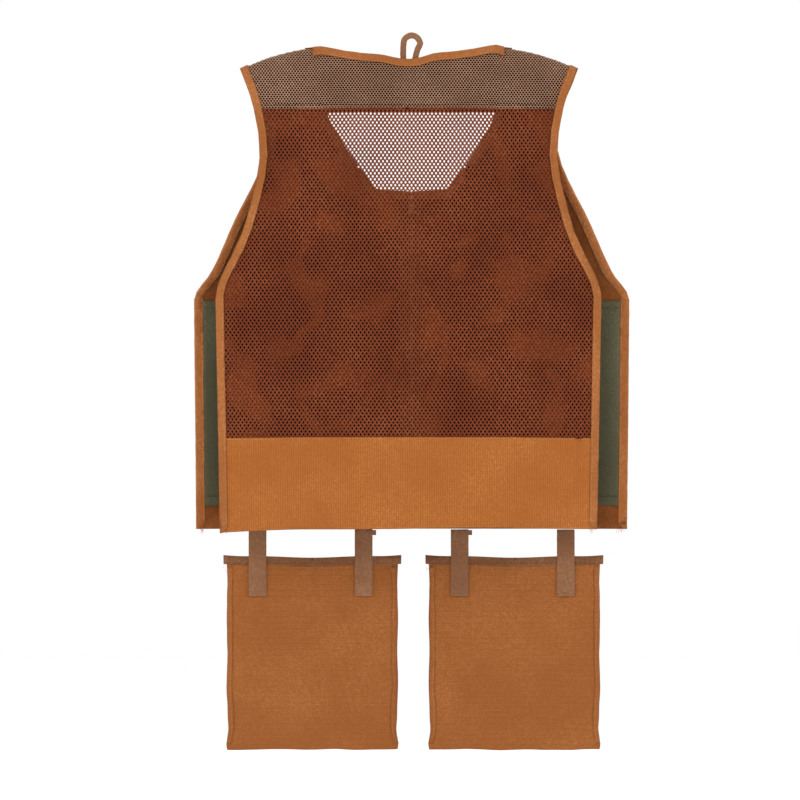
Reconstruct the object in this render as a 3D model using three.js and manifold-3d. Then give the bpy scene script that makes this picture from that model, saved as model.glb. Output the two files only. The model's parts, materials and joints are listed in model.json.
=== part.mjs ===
// Fishing vest with two belt pouches hanging under its front hems, in millimetres.
// +Z is up, -Y is the wearer's back, -X the wearer's left. The origin is the inner top of the
// hang loop, where a peg holds the vest. Every cloth piece is a closed solid of its own, cut to
// lie on one of two shells, the back one and the front one, that meet along the shoulders.

import * as THREE from 'three';
import { mergeVertices } from 'three/addons/utils/BufferGeometryUtils.js';
import Module from 'manifold-3d';

const wasm = await Module();
wasm.setup();

// Clearances
const seamGap = 0.4;
const layGap = 0.6;
const runGap = 0.5;

// Heights, measured down from the peg
const shoulderTopZ = -13;
const shoulderSlope = 30;
const backNeckZ = -31;
const backYokeZ = -97;
const armholeZ = -158;
const frontArmholeZ = -137;
const flareZ = -268;
const underarmZ = -366;
const waistbandZ = -559;
const hemZ = -687;
const frontYokeZ = -178;
const frontNeckZ = -212;

// Half widths
const shoulderHalf = 234;
const shoulderStartHalf = 110;
const neckHalf = 135;
const yokeSeamHalf = 215;
const armholeHalf = 206;
const flareHalf = 229;
const chestHalf = 268;
const backHemHalf = 262;
const frontArmholeHalf = 200;
const frontFlareHalf = 252;
const frontUnderarmHalf = 303;
const frontHemHalf = 300;
const frontNeckYokeHalf = 122;
const frontNeckSeamHalf = 76;
const frontNeckFootHalf = 50;
const frontShift = 4.5;

// Depths
const sideDepthBack = 14;
const sideDepthFront = 12;
const bellyDepthBack = 34;
const bellyDepthFront = 30;
const shoulderFold = 40;
const bellyRise = 170;
const backCrown = 2.2;
const frontCrown = 4;

// Cloth
const yokeThickness = 2.4;
const meshThickness = 1.6;
const bandThickness = 2.4;
const canvasThickness = 1.4;
const liningThickness = 0.8;
const tapeWidth = 11.5;
const tapeLip = 1.5;
const tapeThickness = 0.8;

// Zipper
const zipHalfGap = 9;
const zipTapeWidth = 15;
const zipTapeThickness = 0.6;
const zipTeethWidth = 2.2;
const zipTeethThickness = 2.4;
const zipCentreGap = 1.8;
const sliderLength = 13;
const sliderWidth = 9.5;
const sliderPlate = 1.1;
const sliderDrop = 8;
const pullLength = 30;
const pullWidth = 8;
const pullThickness = 1.4;

// Pockets on the fronts: centre, width, top, height, depth and flap height
const chestPocket = { centre: 122, width: 112, top: -236, height: 118, depth: 13, flap: 44 };
const lowerPocketRise = 241;
const lowerPocket = { centre: 163, width: 186, top: hemZ + lowerPocketRise, height: 192, depth: 24, flap: 62 };
const pocketWall = 1.4;
const pocketMouth = 9;
const flapOverhang = 3;
const flapThickness = 1.6;
const flapStandoff = 2.2;
const flapSeamHeight = 8;
const patchWidth = 38;
const patchHeight = 16;
const patchThickness = 0.7;

// Inner pockets
const innerPocketTopZ = -367;
const innerPocketFootZ = -654;
const innerPocketInnerHalf = 110;

// Pouches
const pouchCentre = 142;
const pouchWidth = 236;
const pouchDrop = 40;
const pouchTopZ = hemZ - pouchDrop;
const pouchHeight = 267;
const pouchMouthDepth = 20;
const pouchBellyDepth = 38;
const pouchFootDepth = 20;
const pouchWall = 1.4;
const pouchTapeHeight = 11;
const strapWidth = 25;
const strapThickness = 1.6;
const strapSpacing = 149;
const strapReach = 95;
const strapFootZ = hemZ - strapReach;
const strapDrop = 0.95;
const keeperWidth = 27;
const keeperHeight = 7;

// Hang loop
const loopTapeWidth = 8.4;
const loopTapeThickness = 1.6;

// Finishes
const finishes = {
  yokeMesh: { color: 0x71503d, roughness: 0.9, metalness: 0 },
  rustMesh: { color: 0x6d371c, roughness: 0.9, metalness: 0 },
  canvas: { color: 0xb56c33, roughness: 0.85, metalness: 0 },
  binding: { color: 0xa9683b, roughness: 0.8, metalness: 0 },
  webbing: { color: 0x875a3b, roughness: 0.8, metalness: 0 },
  lining: { color: 0x494834, roughness: 0.6, metalness: 0 },
  zipTape: { color: 0x5a3218, roughness: 0.85, metalness: 0 },
  zipTeeth: { color: 0x6b4528, roughness: 0.45, metalness: 0 },
  brass: { color: 0x9c7a48, roughness: 0.35, metalness: 1 },
  hookTape: { color: 0x3a2414, roughness: 0.95, metalness: 0 },
};

// The garment hangs in a group of its own, so that the loop's tape lies on the origin.
const vest = new THREE.Group();
const garment = new THREE.Group();
vest.add(garment);

// Evenly spaced values from one number to another, both ends included.
function steps(from, to, count) {
  return Array.from({ length: count + 1 }, (_, i) => from + ((to - from) * i) / count);
}

const mix = THREE.MathUtils.lerp;
const clamp01 = (value) => THREE.MathUtils.clamp(value, 0, 1);

// A smooth curve of half width against height through a few points, listed from the top down,
// which never overshoots the points on either side.
function outline(points) {
  const secants = points.slice(1).map((p, i) => (p[1] - points[i][1]) / (p[0] - points[i][0]));
  const slopes = points.map((_, i) => {
    const above = secants[Math.max(0, i - 1)];
    const below = secants[Math.min(secants.length - 1, i)];
    return above * below > 0 ? (2 * above * below) / (above + below) : 0;
  });
  return (z) => {
    const found = points.findIndex((p) => p[0] <= z);
    const i = THREE.MathUtils.clamp(found < 0 ? points.length - 1 : found, 1, points.length - 1) - 1;
    const span = points[i + 1][0] - points[i][0];
    const t = clamp01((z - points[i][0]) / span);
    const rise = t * t * (3 - 2 * t);
    const ease = span * t * (1 - t);
    return mix(points[i][1], points[i + 1][1], rise) + ease * (slopes[i] * (1 - t) - slopes[i + 1] * t);
  };
}

const shoulderTipZ = shoulderTopZ - shoulderSlope;

// Heights of the rows of a long panel, closer together where its edge turns under the arm.
function panelLevels(top, foot) {
  const turnTop = underarmZ + 60;
  const turnFoot = underarmZ - 20;
  return [
    ...steps(top, turnTop, 6),
    ...steps(turnTop, turnFoot, 8).slice(1),
    ...steps(turnFoot, foot, 5).slice(1),
  ];
}

const shareOf = (z, top, foot) => (z - top) / (foot - top);

const halfWidth = {
  back: outline([
    [shoulderTipZ, shoulderHalf],
    [backYokeZ, yokeSeamHalf],
    [armholeZ, armholeHalf],
    [flareZ, flareHalf],
    [underarmZ, chestHalf],
    [hemZ, backHemHalf],
  ]),
  front: outline([
    [shoulderTipZ, shoulderHalf],
    [frontArmholeZ, frontArmholeHalf],
    [flareZ, frontFlareHalf],
    [mix(flareZ, underarmZ, 0.6), mix(frontFlareHalf, frontUnderarmHalf, 0.52)],
    [underarmZ, frontUnderarmHalf],
    [hemZ, frontHemHalf],
  ]),
};

// Height of the shoulder ridge, where back and front meet.
function ridge(x) {
  const run = (Math.abs(x) - shoulderStartHalf) / (shoulderHalf - shoulderStartHalf);
  return shoulderTopZ - shoulderSlope * Math.max(0, run) ** 2;
}

// Distance of a shell from the plane of the shoulders, at a drop below the ridge.
function depthAt(face, x, drop) {
  const back = face === 'back';
  const across = Math.abs(x) / halfWidth[face](ridge(x) - drop);
  const crown = 1 - across ** (back ? backCrown : frontCrown);
  const folded = Math.sqrt(1 - (1 - clamp01(drop / shoulderFold)) ** 2);
  const risen = 1 - (1 - clamp01(drop / bellyRise)) ** 2;
  const side = back ? sideDepthBack : sideDepthFront;
  const belly = back ? bellyDepthBack : bellyDepthFront;
  return seamGap / 2 + side * folded + belly * crown * risen;
}

// The fronts hang a little to one side of the back, none of it at the shoulders.
function shiftAt(z) {
  return frontShift * (1 - (1 - clamp01((shoulderTopZ - z) / bellyRise)) ** 2);
}

// A point on a shell at a drop of root squared, whose x follows a rule of its height.
function shellPoint(face, xRule, root) {
  let x = xRule(shoulderTopZ - root * root);
  for (let pass = 0; pass < 6; pass += 1) {
    x = xRule(ridge(x) - root * root);
  }
  const z = ridge(x) - root * root;
  const depth = depthAt(face, x, root * root);
  const y = face === 'back' ? -depth : depth;
  return new THREE.Vector3(face === 'back' ? x : x + shiftAt(z), y, z);
}

// The same point for a known height.
function pointAtHeight(face, x, z) {
  return shellPoint(face, () => x, Math.sqrt(Math.max(0, ridge(x) - z)));
}

const frontY = (x, z) => pointAtHeight('front', x, z).y;

// Outward unit normal of a surface given by two parameters.
function normalAt(surface, u, v) {
  const e = 1e-3;
  const du = surface(u + e, v).sub(surface(u - e, v));
  const dv = surface(u, v + e).sub(surface(u, Math.max(0, v - e)));
  return du.cross(dv).normalize();
}

// A BufferGeometry whose faces point outwards.
function solidFrom(positions, indices) {
  let volume = 0;
  const at = (i) => new THREE.Vector3().fromArray(positions, 3 * i);
  for (let i = 0; i < indices.length; i += 3) {
    volume += at(indices[i]).dot(at(indices[i + 1]).cross(at(indices[i + 2])));
  }
  const turned = volume < 0 ? [...indices].reverse() : indices;
  const geometry = new THREE.BufferGeometry();
  geometry.setAttribute('position', new THREE.Float32BufferAttribute(positions, 3));
  geometry.setIndex(turned);
  return geometry;
}

// A closed solid between two skins that share one grid: near(u, v) and far(u, v).
function gridSolid(us, vs, near, far) {
  const positions = [];
  const indices = [];
  for (const skin of [near, far]) {
    for (const v of vs) {
      for (const u of us) {
        positions.push(...skin(u, v).toArray());
      }
    }
  }
  const columns = us.length;
  const farStart = columns * vs.length;
  const quad = (a, b, c, d) => indices.push(a, b, c, a, c, d);
  for (let j = 0; j + 1 < vs.length; j += 1) {
    for (let i = 0; i + 1 < columns; i += 1) {
      const a = j * columns + i;
      quad(a, a + 1, a + columns + 1, a + columns);
      quad(farStart + a, farStart + a + columns, farStart + a + columns + 1, farStart + a + 1);
    }
  }
  const rim = [];
  for (let i = 0; i + 1 < columns; i += 1) rim.push(i);
  for (let j = 0; j + 1 < vs.length; j += 1) rim.push(j * columns + columns - 1);
  for (let i = columns - 1; i > 0; i -= 1) rim.push((vs.length - 1) * columns + i);
  for (let j = vs.length - 1; j > 0; j -= 1) rim.push(j * columns);
  rim.forEach((a, k) => {
    const b = rim[(k + 1) % rim.length];
    quad(a, farStart + a, farStart + b, b);
  });
  return solidFrom(positions, indices);
}

// A sheet of cloth of even thickness on both sides of a surface.
function clothSheet(us, vs, surface, thickness) {
  const skin = (side) => (u, v) =>
    surface(u, v).addScaledVector(normalAt(surface, u, v), (side * thickness) / 2);
  return gridSolid(us, vs, skin(1), skin(-1));
}

// A section swept along stations; place(station, w, t) gives the point of each corner.
function sweep(stations, section, place) {
  const count = section.length;
  const positions = stations.flatMap((station) =>
    section.flatMap(([w, t]) => place(station, w, t).toArray()));
  const indices = [];
  for (let j = 0; j + 1 < stations.length; j += 1) {
    for (let i = 0; i < count; i += 1) {
      const a = j * count + i;
      const b = j * count + ((i + 1) % count);
      indices.push(a, b, b + count, a, b + count, a + count);
    }
  }
  const caps = THREE.ShapeUtils.triangulateShape(section.map(([w, t]) => new THREE.Vector2(w, t)), []);
  const last = (stations.length - 1) * count;
  const turned = THREE.ShapeUtils.isClockWise(section.map(([w, t]) => new THREE.Vector2(w, t)));
  for (const [a, b, c] of caps) {
    indices.push(...(turned ? [a, b, c] : [a, c, b]));
    indices.push(...(turned ? [last + a, last + c, last + b] : [last + a, last + b, last + c]));
  }
  return solidFrom(positions, indices);
}

// The folded tape that wraps an edge: w runs into the cloth, t across its thickness.
function tapeSection(clothThickness, bends) {
  const slot = clothThickness / 2 + layGap;
  const skin = slot + tapeThickness;
  const inward = steps(tapeWidth - tapeLip, 0, bends);
  const outward = [...inward].reverse();
  return [
    ...inward.map((w) => [w, skin]),
    [-tapeLip, skin],
    [-tapeLip, -skin],
    ...outward.map((w) => [w, -skin]),
    ...inward.slice(0, -1).map((w) => [w, -slot]),
    [-layGap, -slot],
    [-layGap, slot],
    ...outward.slice(1).map((w) => [w, slot]),
  ];
}

// Binding along an edge of a surface: edge(s) gives the two parameters of the edge, and step(s)
// the change of parameters that leads into the cloth.
function edgeBinding(stations, surface, edge, step, clothThickness, bends = 2) {
  const frames = stations.map((s) => {
    const e = 1e-3;
    const low = Math.max(stations[0], s - e);
    const high = Math.min(stations[stations.length - 1], s + e);
    const tangent = surface(...edge(high)).sub(surface(...edge(low))).normalize();
    const [u, v] = edge(s);
    const [du, dv] = step(s);
    const origin = surface(u, v);
    const into = surface(u + du, v + dv).sub(origin);
    into.addScaledVector(tangent, -into.dot(tangent));
    const reach = into.length();
    return { origin, into: into.normalize(), at: (w) => [u + (du * w) / reach, v + (dv * w) / reach] };
  });
  return sweep(frames, tapeSection(clothThickness, bends), (frame, w, t) => {
    const place = frame.at(Math.max(0, w));
    const point = surface(...place).addScaledVector(normalAt(surface, ...place), t);
    return w < 0 ? point.addScaledVector(frame.into, w) : point;
  });
}

// The same surface with its corners shared and nothing but places kept.
function bare(geometry) {
  const copy = geometry.clone();
  copy.deleteAttribute('normal');
  copy.deleteAttribute('uv');
  return mergeVertices(copy, 1e-4);
}

// The mirror image of a piece of the right-hand side; fronts mirror about their own centre.
function mirrored(geometry, centreAt = () => 0) {
  const copy = bare(geometry);
  const place = copy.getAttribute('position');
  for (let i = 0; i < place.count; i += 1) {
    place.setX(i, 2 * centreAt(place.getZ(i)) - place.getX(i));
  }
  copy.setIndex([...copy.getIndex().array].reverse());
  return copy;
}

function add(name, geometry, finish, parent = garment) {
  const mesh = new THREE.Mesh(geometry, new THREE.MeshStandardMaterial(finishes[finish]));
  mesh.name = name;
  parent.add(mesh);
  return mesh;
}

// One piece for each side, from the geometry of the right-hand one.
function addPair(name, geometry, finish, centreAt) {
  add(`${name}_right`, geometry, finish);
  add(`${name}_left`, mirrored(geometry, centreAt), finish);
}

function toManifold(geometry) {
  const merged = bare(geometry);
  return new wasm.Manifold(new wasm.Mesh({
    numProp: 3,
    vertProperties: new Float32Array(merged.getAttribute('position').array),
    triVerts: new Uint32Array(merged.getIndex().array),
  }));
}

function fromManifold(solid) {
  const mesh = solid.getMesh();
  const geometry = new THREE.BufferGeometry();
  geometry.setAttribute('position', new THREE.BufferAttribute(mesh.vertProperties.slice(), 3));
  geometry.setIndex(new THREE.BufferAttribute(mesh.triVerts.slice(), 1));
  return geometry;
}

const joined = (...parts) => fromManifold(parts.map(toManifold).reduce((a, b) => a.add(b)));
const cut = (body, tool) => fromManifold(toManifold(body).subtract(toManifold(tool)));

// A box from its centre line at x, y, z and its sizes.
function block(x, y, z, width, depth, height) {
  return new THREE.BoxGeometry(width, depth, height).translate(x, y, z);
}

// Back yoke: padded net over the shoulders, hollowed by the back neck.
const neckShare = neckHalf / shoulderHalf;
const neckReach = 0.97 * neckShare;
const neckColumns = [-neckReach, ...steps(-neckShare, neckShare, 12).slice(1, -1), neckReach];
const yokeRows = [...steps(0, 0.12, 4), 0.2, 0.32, 0.46, 0.64, 0.82, 1];

function backNeckHeight(x) {
  const end = ridge(neckHalf);
  return x >= neckHalf ? ridge(x) : backNeckZ + (end - backNeckZ) * (x / neckHalf) ** 2.4;
}

function backYokePoint(s, v) {
  const topX = Math.abs(s) * shoulderHalf;
  const top = Math.sqrt(Math.max(0, ridge(topX) - backNeckHeight(topX)));
  const footX = Math.abs(s) * halfWidth.back(backYokeZ);
  const foot = Math.sqrt(ridge(footX) - backYokeZ);
  return shellPoint('back', (z) => s * halfWidth.back(z), mix(top, foot, v));
}

function buildBackYoke() {
  const columns = [
    ...steps(-1, -neckShare, 5),
    ...neckColumns,
    ...steps(neckShare, 1, 5),
  ];
  add('back_yoke', clothSheet(columns, yokeRows, backYokePoint, yokeThickness), 'yokeMesh');
}

// A panel of the back between two heights.
function backPanelPoint(top, foot) {
  return (s, v) => {
    const z = mix(top, foot, v);
    return pointAtHeight('back', s * halfWidth.back(z), z);
  };
}

function buildBackPanels() {
  const top = backYokeZ - seamGap;
  const foot = waistbandZ + seamGap;
  const rows = panelLevels(top, foot).map((z) => shareOf(z, top, foot));
  const meshPoint = backPanelPoint(top, foot);
  add('back_mesh_panel', clothSheet(steps(-1, 1, 14), rows, meshPoint, meshThickness), 'rustMesh');
  const bandPoint = backPanelPoint(waistbandZ, hemZ);
  add('back_waistband', clothSheet(steps(-1, 1, 14), steps(0, 1, 4), bandPoint, bandThickness), 'canvas');
}

// Roots of the drop at the side edge for the rows of the yoke and of the panels below it.
function edgeRoots(face, yokeShares, yokeFoot, levels) {
  const rootAt = (z) => Math.sqrt(ridge(halfWidth[face](z)) - z);
  return [...yokeShares.map((share) => share * rootAt(yokeFoot)), ...levels.map(rootAt)];
}

function buildSideBindings() {
  const surface = (face) => (s, root) => shellPoint(face, (z) => s * halfWidth[face](z), root);
  const edge = (root) => [1, root];
  const step = () => [-tapeWidth / chestHalf, 0];
  const backLevels = [...panelLevels(backYokeZ, waistbandZ).slice(1), ...steps(waistbandZ, hemZ, 4).slice(1)];
  const backRoots = edgeRoots('back', yokeRows, backYokeZ, backLevels);
  const back = edgeBinding(backRoots, surface('back'), edge, step, bandThickness);
  addPair('back_binding', back, 'binding');
  const frontRoots = edgeRoots('front', frontYokeRows, frontYokeZ, panelLevels(frontYokeZ, hemZ).slice(1));
  const front = edgeBinding(frontRoots, surface('front'), edge, step, yokeThickness);
  addPair('front_binding', front, 'binding', shiftAt);
}

// Neck binding of the back, which stops just short of the shoulder ridge.
function buildBackNeckBinding() {
  const edge = (s) => [s, 0];
  const step = () => [0, 0.1];
  const piece = edgeBinding(neckColumns, backYokePoint, edge, step, yokeThickness, 4);
  add('neck_binding_back', piece, 'binding');
}

// Fronts
const frontNeck = outline([
  [ridge(neckHalf), neckHalf],
  [backYokeZ, frontNeckYokeHalf],
  [frontYokeZ, frontNeckSeamHalf],
  [frontNeckZ, frontNeckFootHalf],
]);

const frontYokeRows = steps(0, 1, 11);

function frontYokePoint(u, v) {
  const foot = frontYokeZ + seamGap;
  const rule = (z) => mix(frontNeck(z), halfWidth.front(z), u);
  return shellPoint('front', rule, v * Math.sqrt(ridge(rule(foot)) - foot));
}

const seamShare = (frontNeckSeamHalf - zipHalfGap) / (halfWidth.front(frontYokeZ) - zipHalfGap);
const footShare = (frontNeckFootHalf - zipHalfGap) / (halfWidth.front(frontNeckZ) - zipHalfGap);

function frontPanelPoint(u, v) {
  const climb = clamp01((u - footShare) / (seamShare - footShare));
  const z = mix(mix(frontNeckZ, frontYokeZ, climb), hemZ, v);
  return pointAtHeight('front', mix(zipHalfGap, halfWidth.front(z), u), z);
}

function buildFronts() {
  const yoke = clothSheet(steps(0, 1, 7), frontYokeRows, frontYokePoint, yokeThickness);
  addPair('front_yoke', yoke, 'yokeMesh', shiftAt);
  const columns = [
    ...steps(0, footShare, 2),
    ...steps(footShare, seamShare, 2).slice(1),
    ...steps(seamShare, 1, 10).slice(1),
  ];
  const rows = panelLevels(frontYokeZ, hemZ).map((z) => shareOf(z, frontYokeZ, hemZ));
  const panel = clothSheet(columns, rows, frontPanelPoint, canvasThickness);
  addPair('front_panel', panel, 'canvas', shiftAt);
}

// Neck binding of a front: down the yoke, then along the top of the panel to the zipper.
function buildFrontNeckBindings() {
  const upper = edgeBinding(frontYokeRows, frontYokePoint, (v) => [0, v], () => [0.1, 0], yokeThickness);
  addPair('neck_binding_front', upper, 'binding', shiftAt);
  const start = seamShare - 0.008;
  const lower = edgeBinding(steps(0, start, 8), frontPanelPoint, (u) => [u, 0], () => [0, 0.02], yokeThickness);
  addPair('neck_binding_foot', lower, 'binding', shiftAt);
}

// Olive inner pocket on the inside of each front.
function buildInnerPockets() {
  const outer = (z) => halfWidth.front(z) - tapeWidth + tapeLip - layGap;
  const inset = canvasThickness / 2 + 1.5 * layGap + liningThickness / 2;
  const surface = (u, v) => {
    const z = mix(innerPocketTopZ, innerPocketFootZ, v);
    const point = pointAtHeight('front', mix(innerPocketInnerHalf, outer(z), u), z);
    return point.setY(point.y - inset);
  };
  const piece = clothSheet(steps(0, 1, 10), steps(0, 1, 10), surface, liningThickness);
  addPair('inner_pocket', piece, 'lining', shiftAt);
}

// Zipper down the centre of the fronts.
const zipY = frontY(0, hemZ) - canvasThickness / 2 - layGap - zipTapeThickness / 2;
const zipTopZ = frontNeckZ - tapeWidth + tapeLip - layGap;
const zipFootZ = hemZ + 4;

function buildZipper() {
  const length = zipTopZ - zipFootZ;
  const middle = (zipTopZ + zipFootZ) / 2;
  const inner = zipCentreGap / 2 + zipTeethWidth + seamGap;
  const tape = block(frontShift + inner + zipTapeWidth / 2, zipY, middle, zipTapeWidth, zipTapeThickness, length);
  addPair('zipper_tape', tape, 'zipTape', shiftAt);
  const teethX = frontShift + zipCentreGap / 2 + zipTeethWidth / 2;
  const stopHeight = 3;
  const boxHeight = 9;
  const teethTop = zipTopZ - stopHeight - seamGap;
  const teethFoot = zipFootZ + boxHeight + seamGap;
  const teeth = block(teethX, zipY, (teethTop + teethFoot) / 2, zipTeethWidth, zipTeethThickness, teethTop - teethFoot);
  addPair('zipper_teeth', teeth, 'zipTeeth', shiftAt);
  const stop = block(teethX, zipY, zipTopZ - stopHeight / 2, zipTeethWidth, zipTeethThickness, stopHeight);
  addPair('zipper_top_stop', stop, 'brass', shiftAt);
  const boxWidth = 2 * (inner - seamGap);
  const box = block(frontShift, zipY, zipFootZ + boxHeight / 2, boxWidth, zipTeethThickness, boxHeight);
  add('zipper_bottom_box', box, 'brass');
}

// Slider: two plates round the teeth, a divider between them and a bridge for the pull.
const sliderZ = zipTopZ - sliderDrop - sliderLength / 2;
const plateY = zipTeethThickness / 2 + runGap + sliderPlate / 2;
const bridgeRise = 3.2;
const pullY = plateY + sliderPlate / 2 + bridgeRise / 2 - 0.1;

function buildSlider() {
  const divider = block(0, 0, 0, zipCentreGap - 2 * runGap, 2 * plateY, sliderLength * 0.5);
  const front = block(0, plateY, 0, sliderWidth, sliderPlate, sliderLength);
  const back = block(0, -plateY, 0, sliderWidth, sliderPlate, sliderLength);
  const postReach = plateY + sliderPlate / 2 + bridgeRise / 2;
  const posts = [-1, 1].map((side) => block(0, postReach, side * 4.2, 2.4, bridgeRise + 0.4, 1.4));
  const bar = block(0, plateY + sliderPlate / 2 + bridgeRise + 0.5, 0, 2.4, 1, 9.8);
  const slider = add('zipper_slider', joined(front, back, divider, ...posts, bar), 'brass');
  slider.position.set(frontShift, zipY, sliderZ);
}

function buildPullTab() {
  const head = pullThickness / 2;
  const shape = new THREE.Shape();
  shape.moveTo(-pullWidth / 2, head);
  shape.lineTo(pullWidth / 2, head);
  shape.lineTo(pullWidth / 2, -pullLength + pullWidth / 2);
  shape.absarc(0, -pullLength + pullWidth / 2, pullWidth / 2, 0, -Math.PI, true);
  shape.closePath();
  const hole = new THREE.Path();
  const half = 2.2;
  hole.moveTo(-half, -head);
  hole.lineTo(-half, -8);
  hole.lineTo(half, -8);
  hole.lineTo(half, -head);
  hole.closePath();
  shape.holes.push(hole);
  const plate = new THREE.ExtrudeGeometry(shape, { depth: pullThickness, bevelEnabled: false, curveSegments: 8 });
  plate.translate(0, 0, -pullThickness / 2).rotateX(Math.PI / 2);
  const tab = add('zipper_pull_tab', plate, 'brass');
  tab.position.set(frontShift, zipY + pullY, sliderZ);
}

// Pockets on the fronts lean with the cloth behind them: y = lean * (x - centre) is added.
function leanOf(centre, width, z) {
  const inner = frontY(centre - width / 2, z);
  const outer = frontY(centre + width / 2, z);
  return (outer - inner) / width;
}

function sheared(geometry, centre, lean) {
  const place = geometry.getAttribute('position');
  for (let i = 0; i < place.count; i += 1) {
    place.setY(i, place.getY(i) + lean * (place.getX(i) - centre));
  }
  return geometry;
}

function pocketPlane(spec) {
  const z = spec.top - spec.height / 2;
  const lean = leanOf(spec.centre, spec.width, z);
  const base = (frontY(spec.centre - spec.width / 2, z) + frontY(spec.centre + spec.width / 2, z)) / 2;
  return { lean, face: base + canvasThickness / 2 + layGap + spec.depth };
}

// A patch pocket: front, sides and foot, open at the top and towards the panel behind it.
function pocketShell(spec) {
  const { lean, face } = pocketPlane(spec);
  const skins = (inset, topRise, backSink, faceInset) => {
    const x = (u) => mix(spec.centre - spec.width / 2 + inset, spec.centre + spec.width / 2 - inset, u);
    const z = (v) => mix(spec.top + topRise, spec.top - spec.height + inset, v);
    const back = (u, v) => {
      const behind = frontY(x(u), z(v)) + canvasThickness / 2 + layGap - backSink;
      return new THREE.Vector3(x(u) + frontShift, behind, z(v));
    };
    const front = (u, v) => {
      const leaned = face + lean * (x(u) - spec.centre) - faceInset;
      return new THREE.Vector3(x(u) + frontShift, leaned, z(v));
    };
    return gridSolid(steps(0, 1, 6), steps(0, 1, 3), front, back);
  };
  return cut(skins(0, 0, 0, 0), skins(pocketWall, 1, 2, pocketWall));
}

// A plate with a round top edge, hanging from z = 0, seen along X.
function flapPlate(width, height) {
  const r = flapThickness / 2;
  const shape = new THREE.Shape();
  shape.moveTo(r, 0);
  shape.absarc(0, 0, r, 0, Math.PI, false);
  shape.lineTo(-r, r - height);
  shape.lineTo(r, r - height);
  shape.closePath();
  const plate = new THREE.ExtrudeGeometry(shape, { depth: width, bevelEnabled: false, curveSegments: 6 });
  const turn = new THREE.Matrix4().makeBasis(
    new THREE.Vector3(0, 1, 0), new THREE.Vector3(0, 0, 1), new THREE.Vector3(1, 0, 0));
  return plate.applyMatrix4(turn).translate(-width / 2, 0, 0);
}

function buildPocket(name, spec) {
  const { lean, face } = pocketPlane(spec);
  addPair(`${name}_pocket`, pocketShell(spec), 'canvas', shiftAt);
  const x = spec.centre + frontShift;
  const flapY = face + flapStandoff + flapThickness / 2;
  const hingeZ = spec.top + pocketMouth;
  const flapWidth = spec.width + 2 * flapOverhang;
  const flap = flapPlate(flapWidth, spec.flap).translate(x, flapY, hingeZ);
  addPair(`${name}_flap`, sheared(flap, x, lean), 'canvas', shiftAt);

  const seamFoot = hingeZ + flapThickness / 2 + seamGap;
  const front = (u, v) => {
    const px = mix(-flapWidth / 2, flapWidth / 2, u);
    return new THREE.Vector3(px + x, flapY - flapThickness / 2 + lean * px, seamFoot + v * flapSeamHeight);
  };
  const back = (u, v) => {
    const point = front(u, v);
    return point.setY(frontY(point.x - frontShift, point.z) + canvasThickness / 2 + seamGap);
  };
  addPair(`${name}_flap_seam`, gridSolid(steps(0, 1, 6), steps(0, 1, 2), front, back), 'canvas', shiftAt);

  const patchZ = hingeZ - spec.flap + patchHeight;
  const loopY = face + seamGap / 2 + patchThickness / 2;
  const loop = block(x, loopY, patchZ, patchWidth, patchThickness, patchHeight);
  addPair(`${name}_loop_patch`, sheared(loop, x, lean), 'hookTape', shiftAt);
  const hookY = face + flapStandoff - seamGap / 2 - patchThickness / 2;
  const hook = block(x, hookY, patchZ, patchWidth, patchThickness, patchHeight);
  addPair(`${name}_hook_patch`, sheared(hook, x, lean), 'hookTape', shiftAt);
}

// Pouches under the front hems, with flat backs and round bellies.
const pouchLean = leanOf(pouchCentre, strapSpacing, hemZ);
const strapY = (frontY(pouchCentre - strapSpacing / 2, hemZ) + frontY(pouchCentre + strapSpacing / 2, hemZ)) / 2;
const pouchBackY = strapY + strapThickness / 2 + seamGap + tapeThickness + layGap / 2;

function pouchDepth(share) {
  const rise = Math.sin(Math.PI * clamp01(share) ** 0.75);
  return mix(pouchFootDepth, pouchMouthDepth, share) + (pouchBellyDepth - pouchFootDepth) * rise;
}

// One point of the pouch's round section, pushed out by a distance.
function pouchPoint(angle, share, z, push) {
  const half = pouchWidth / 2 + push;
  const deep = pouchDepth(share) / 2;
  const c = Math.cos(angle);
  const s = Math.sin(angle);
  const x = half * Math.sign(c) * Math.abs(c) ** 0.25;
  const y = (deep + push) * Math.sign(s) * Math.abs(s) ** 0.6;
  return new THREE.Vector3(x, deep + y, z);
}

const pouchAngles = steps(0, 2 * Math.PI, 28).slice(0, -1);

// Rings of a closed loop of sections, each ring joined to the next; the ends are closed by fans.
function ringSolid(rings, closed) {
  const count = rings[0].length;
  const positions = rings.flat().flatMap((p) => p.toArray());
  const indices = [];
  const last = closed ? rings.length : rings.length - 1;
  for (let j = 0; j < last; j += 1) {
    const next = ((j + 1) % rings.length) * count;
    for (let i = 0; i < count; i += 1) {
      const k = (i + 1) % count;
      indices.push(j * count + i, j * count + k, next + k, j * count + i, next + k, next + i);
    }
  }
  if (!closed) {
    const start = positions.length / 3;
    const centre = (ring) => ring.reduce((sum, p) => sum.add(p), new THREE.Vector3()).divideScalar(count);
    positions.push(...centre(rings[0]).toArray(), ...centre(rings[rings.length - 1]).toArray());
    const end = (rings.length - 1) * count;
    for (let i = 0; i < count; i += 1) {
      const k = (i + 1) % count;
      indices.push(start, k, i, start + 1, end + i, end + k);
    }
  }
  return solidFrom(positions, indices);
}

function pouchBody() {
  const foot = pouchTopZ - pouchHeight;
  const levels = [0, 0.03, 0.12, 0.3, 0.5, 0.7, 0.86, 1];
  const ring = (share, push) => {
    const tuck = share < 0.01 ? -5 : 0;
    const z = foot + share * pouchHeight + (share < 0.5 && push < 0 ? pouchWall : 0);
    return pouchAngles.map((angle) => pouchPoint(angle, share, z, push + tuck));
  };
  const outer = levels.map((share) => ring(share, 0));
  const inner = [...levels].reverse().map((share) => ring(share, -pouchWall));
  return ringSolid([...outer, ...inner], false);
}

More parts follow.
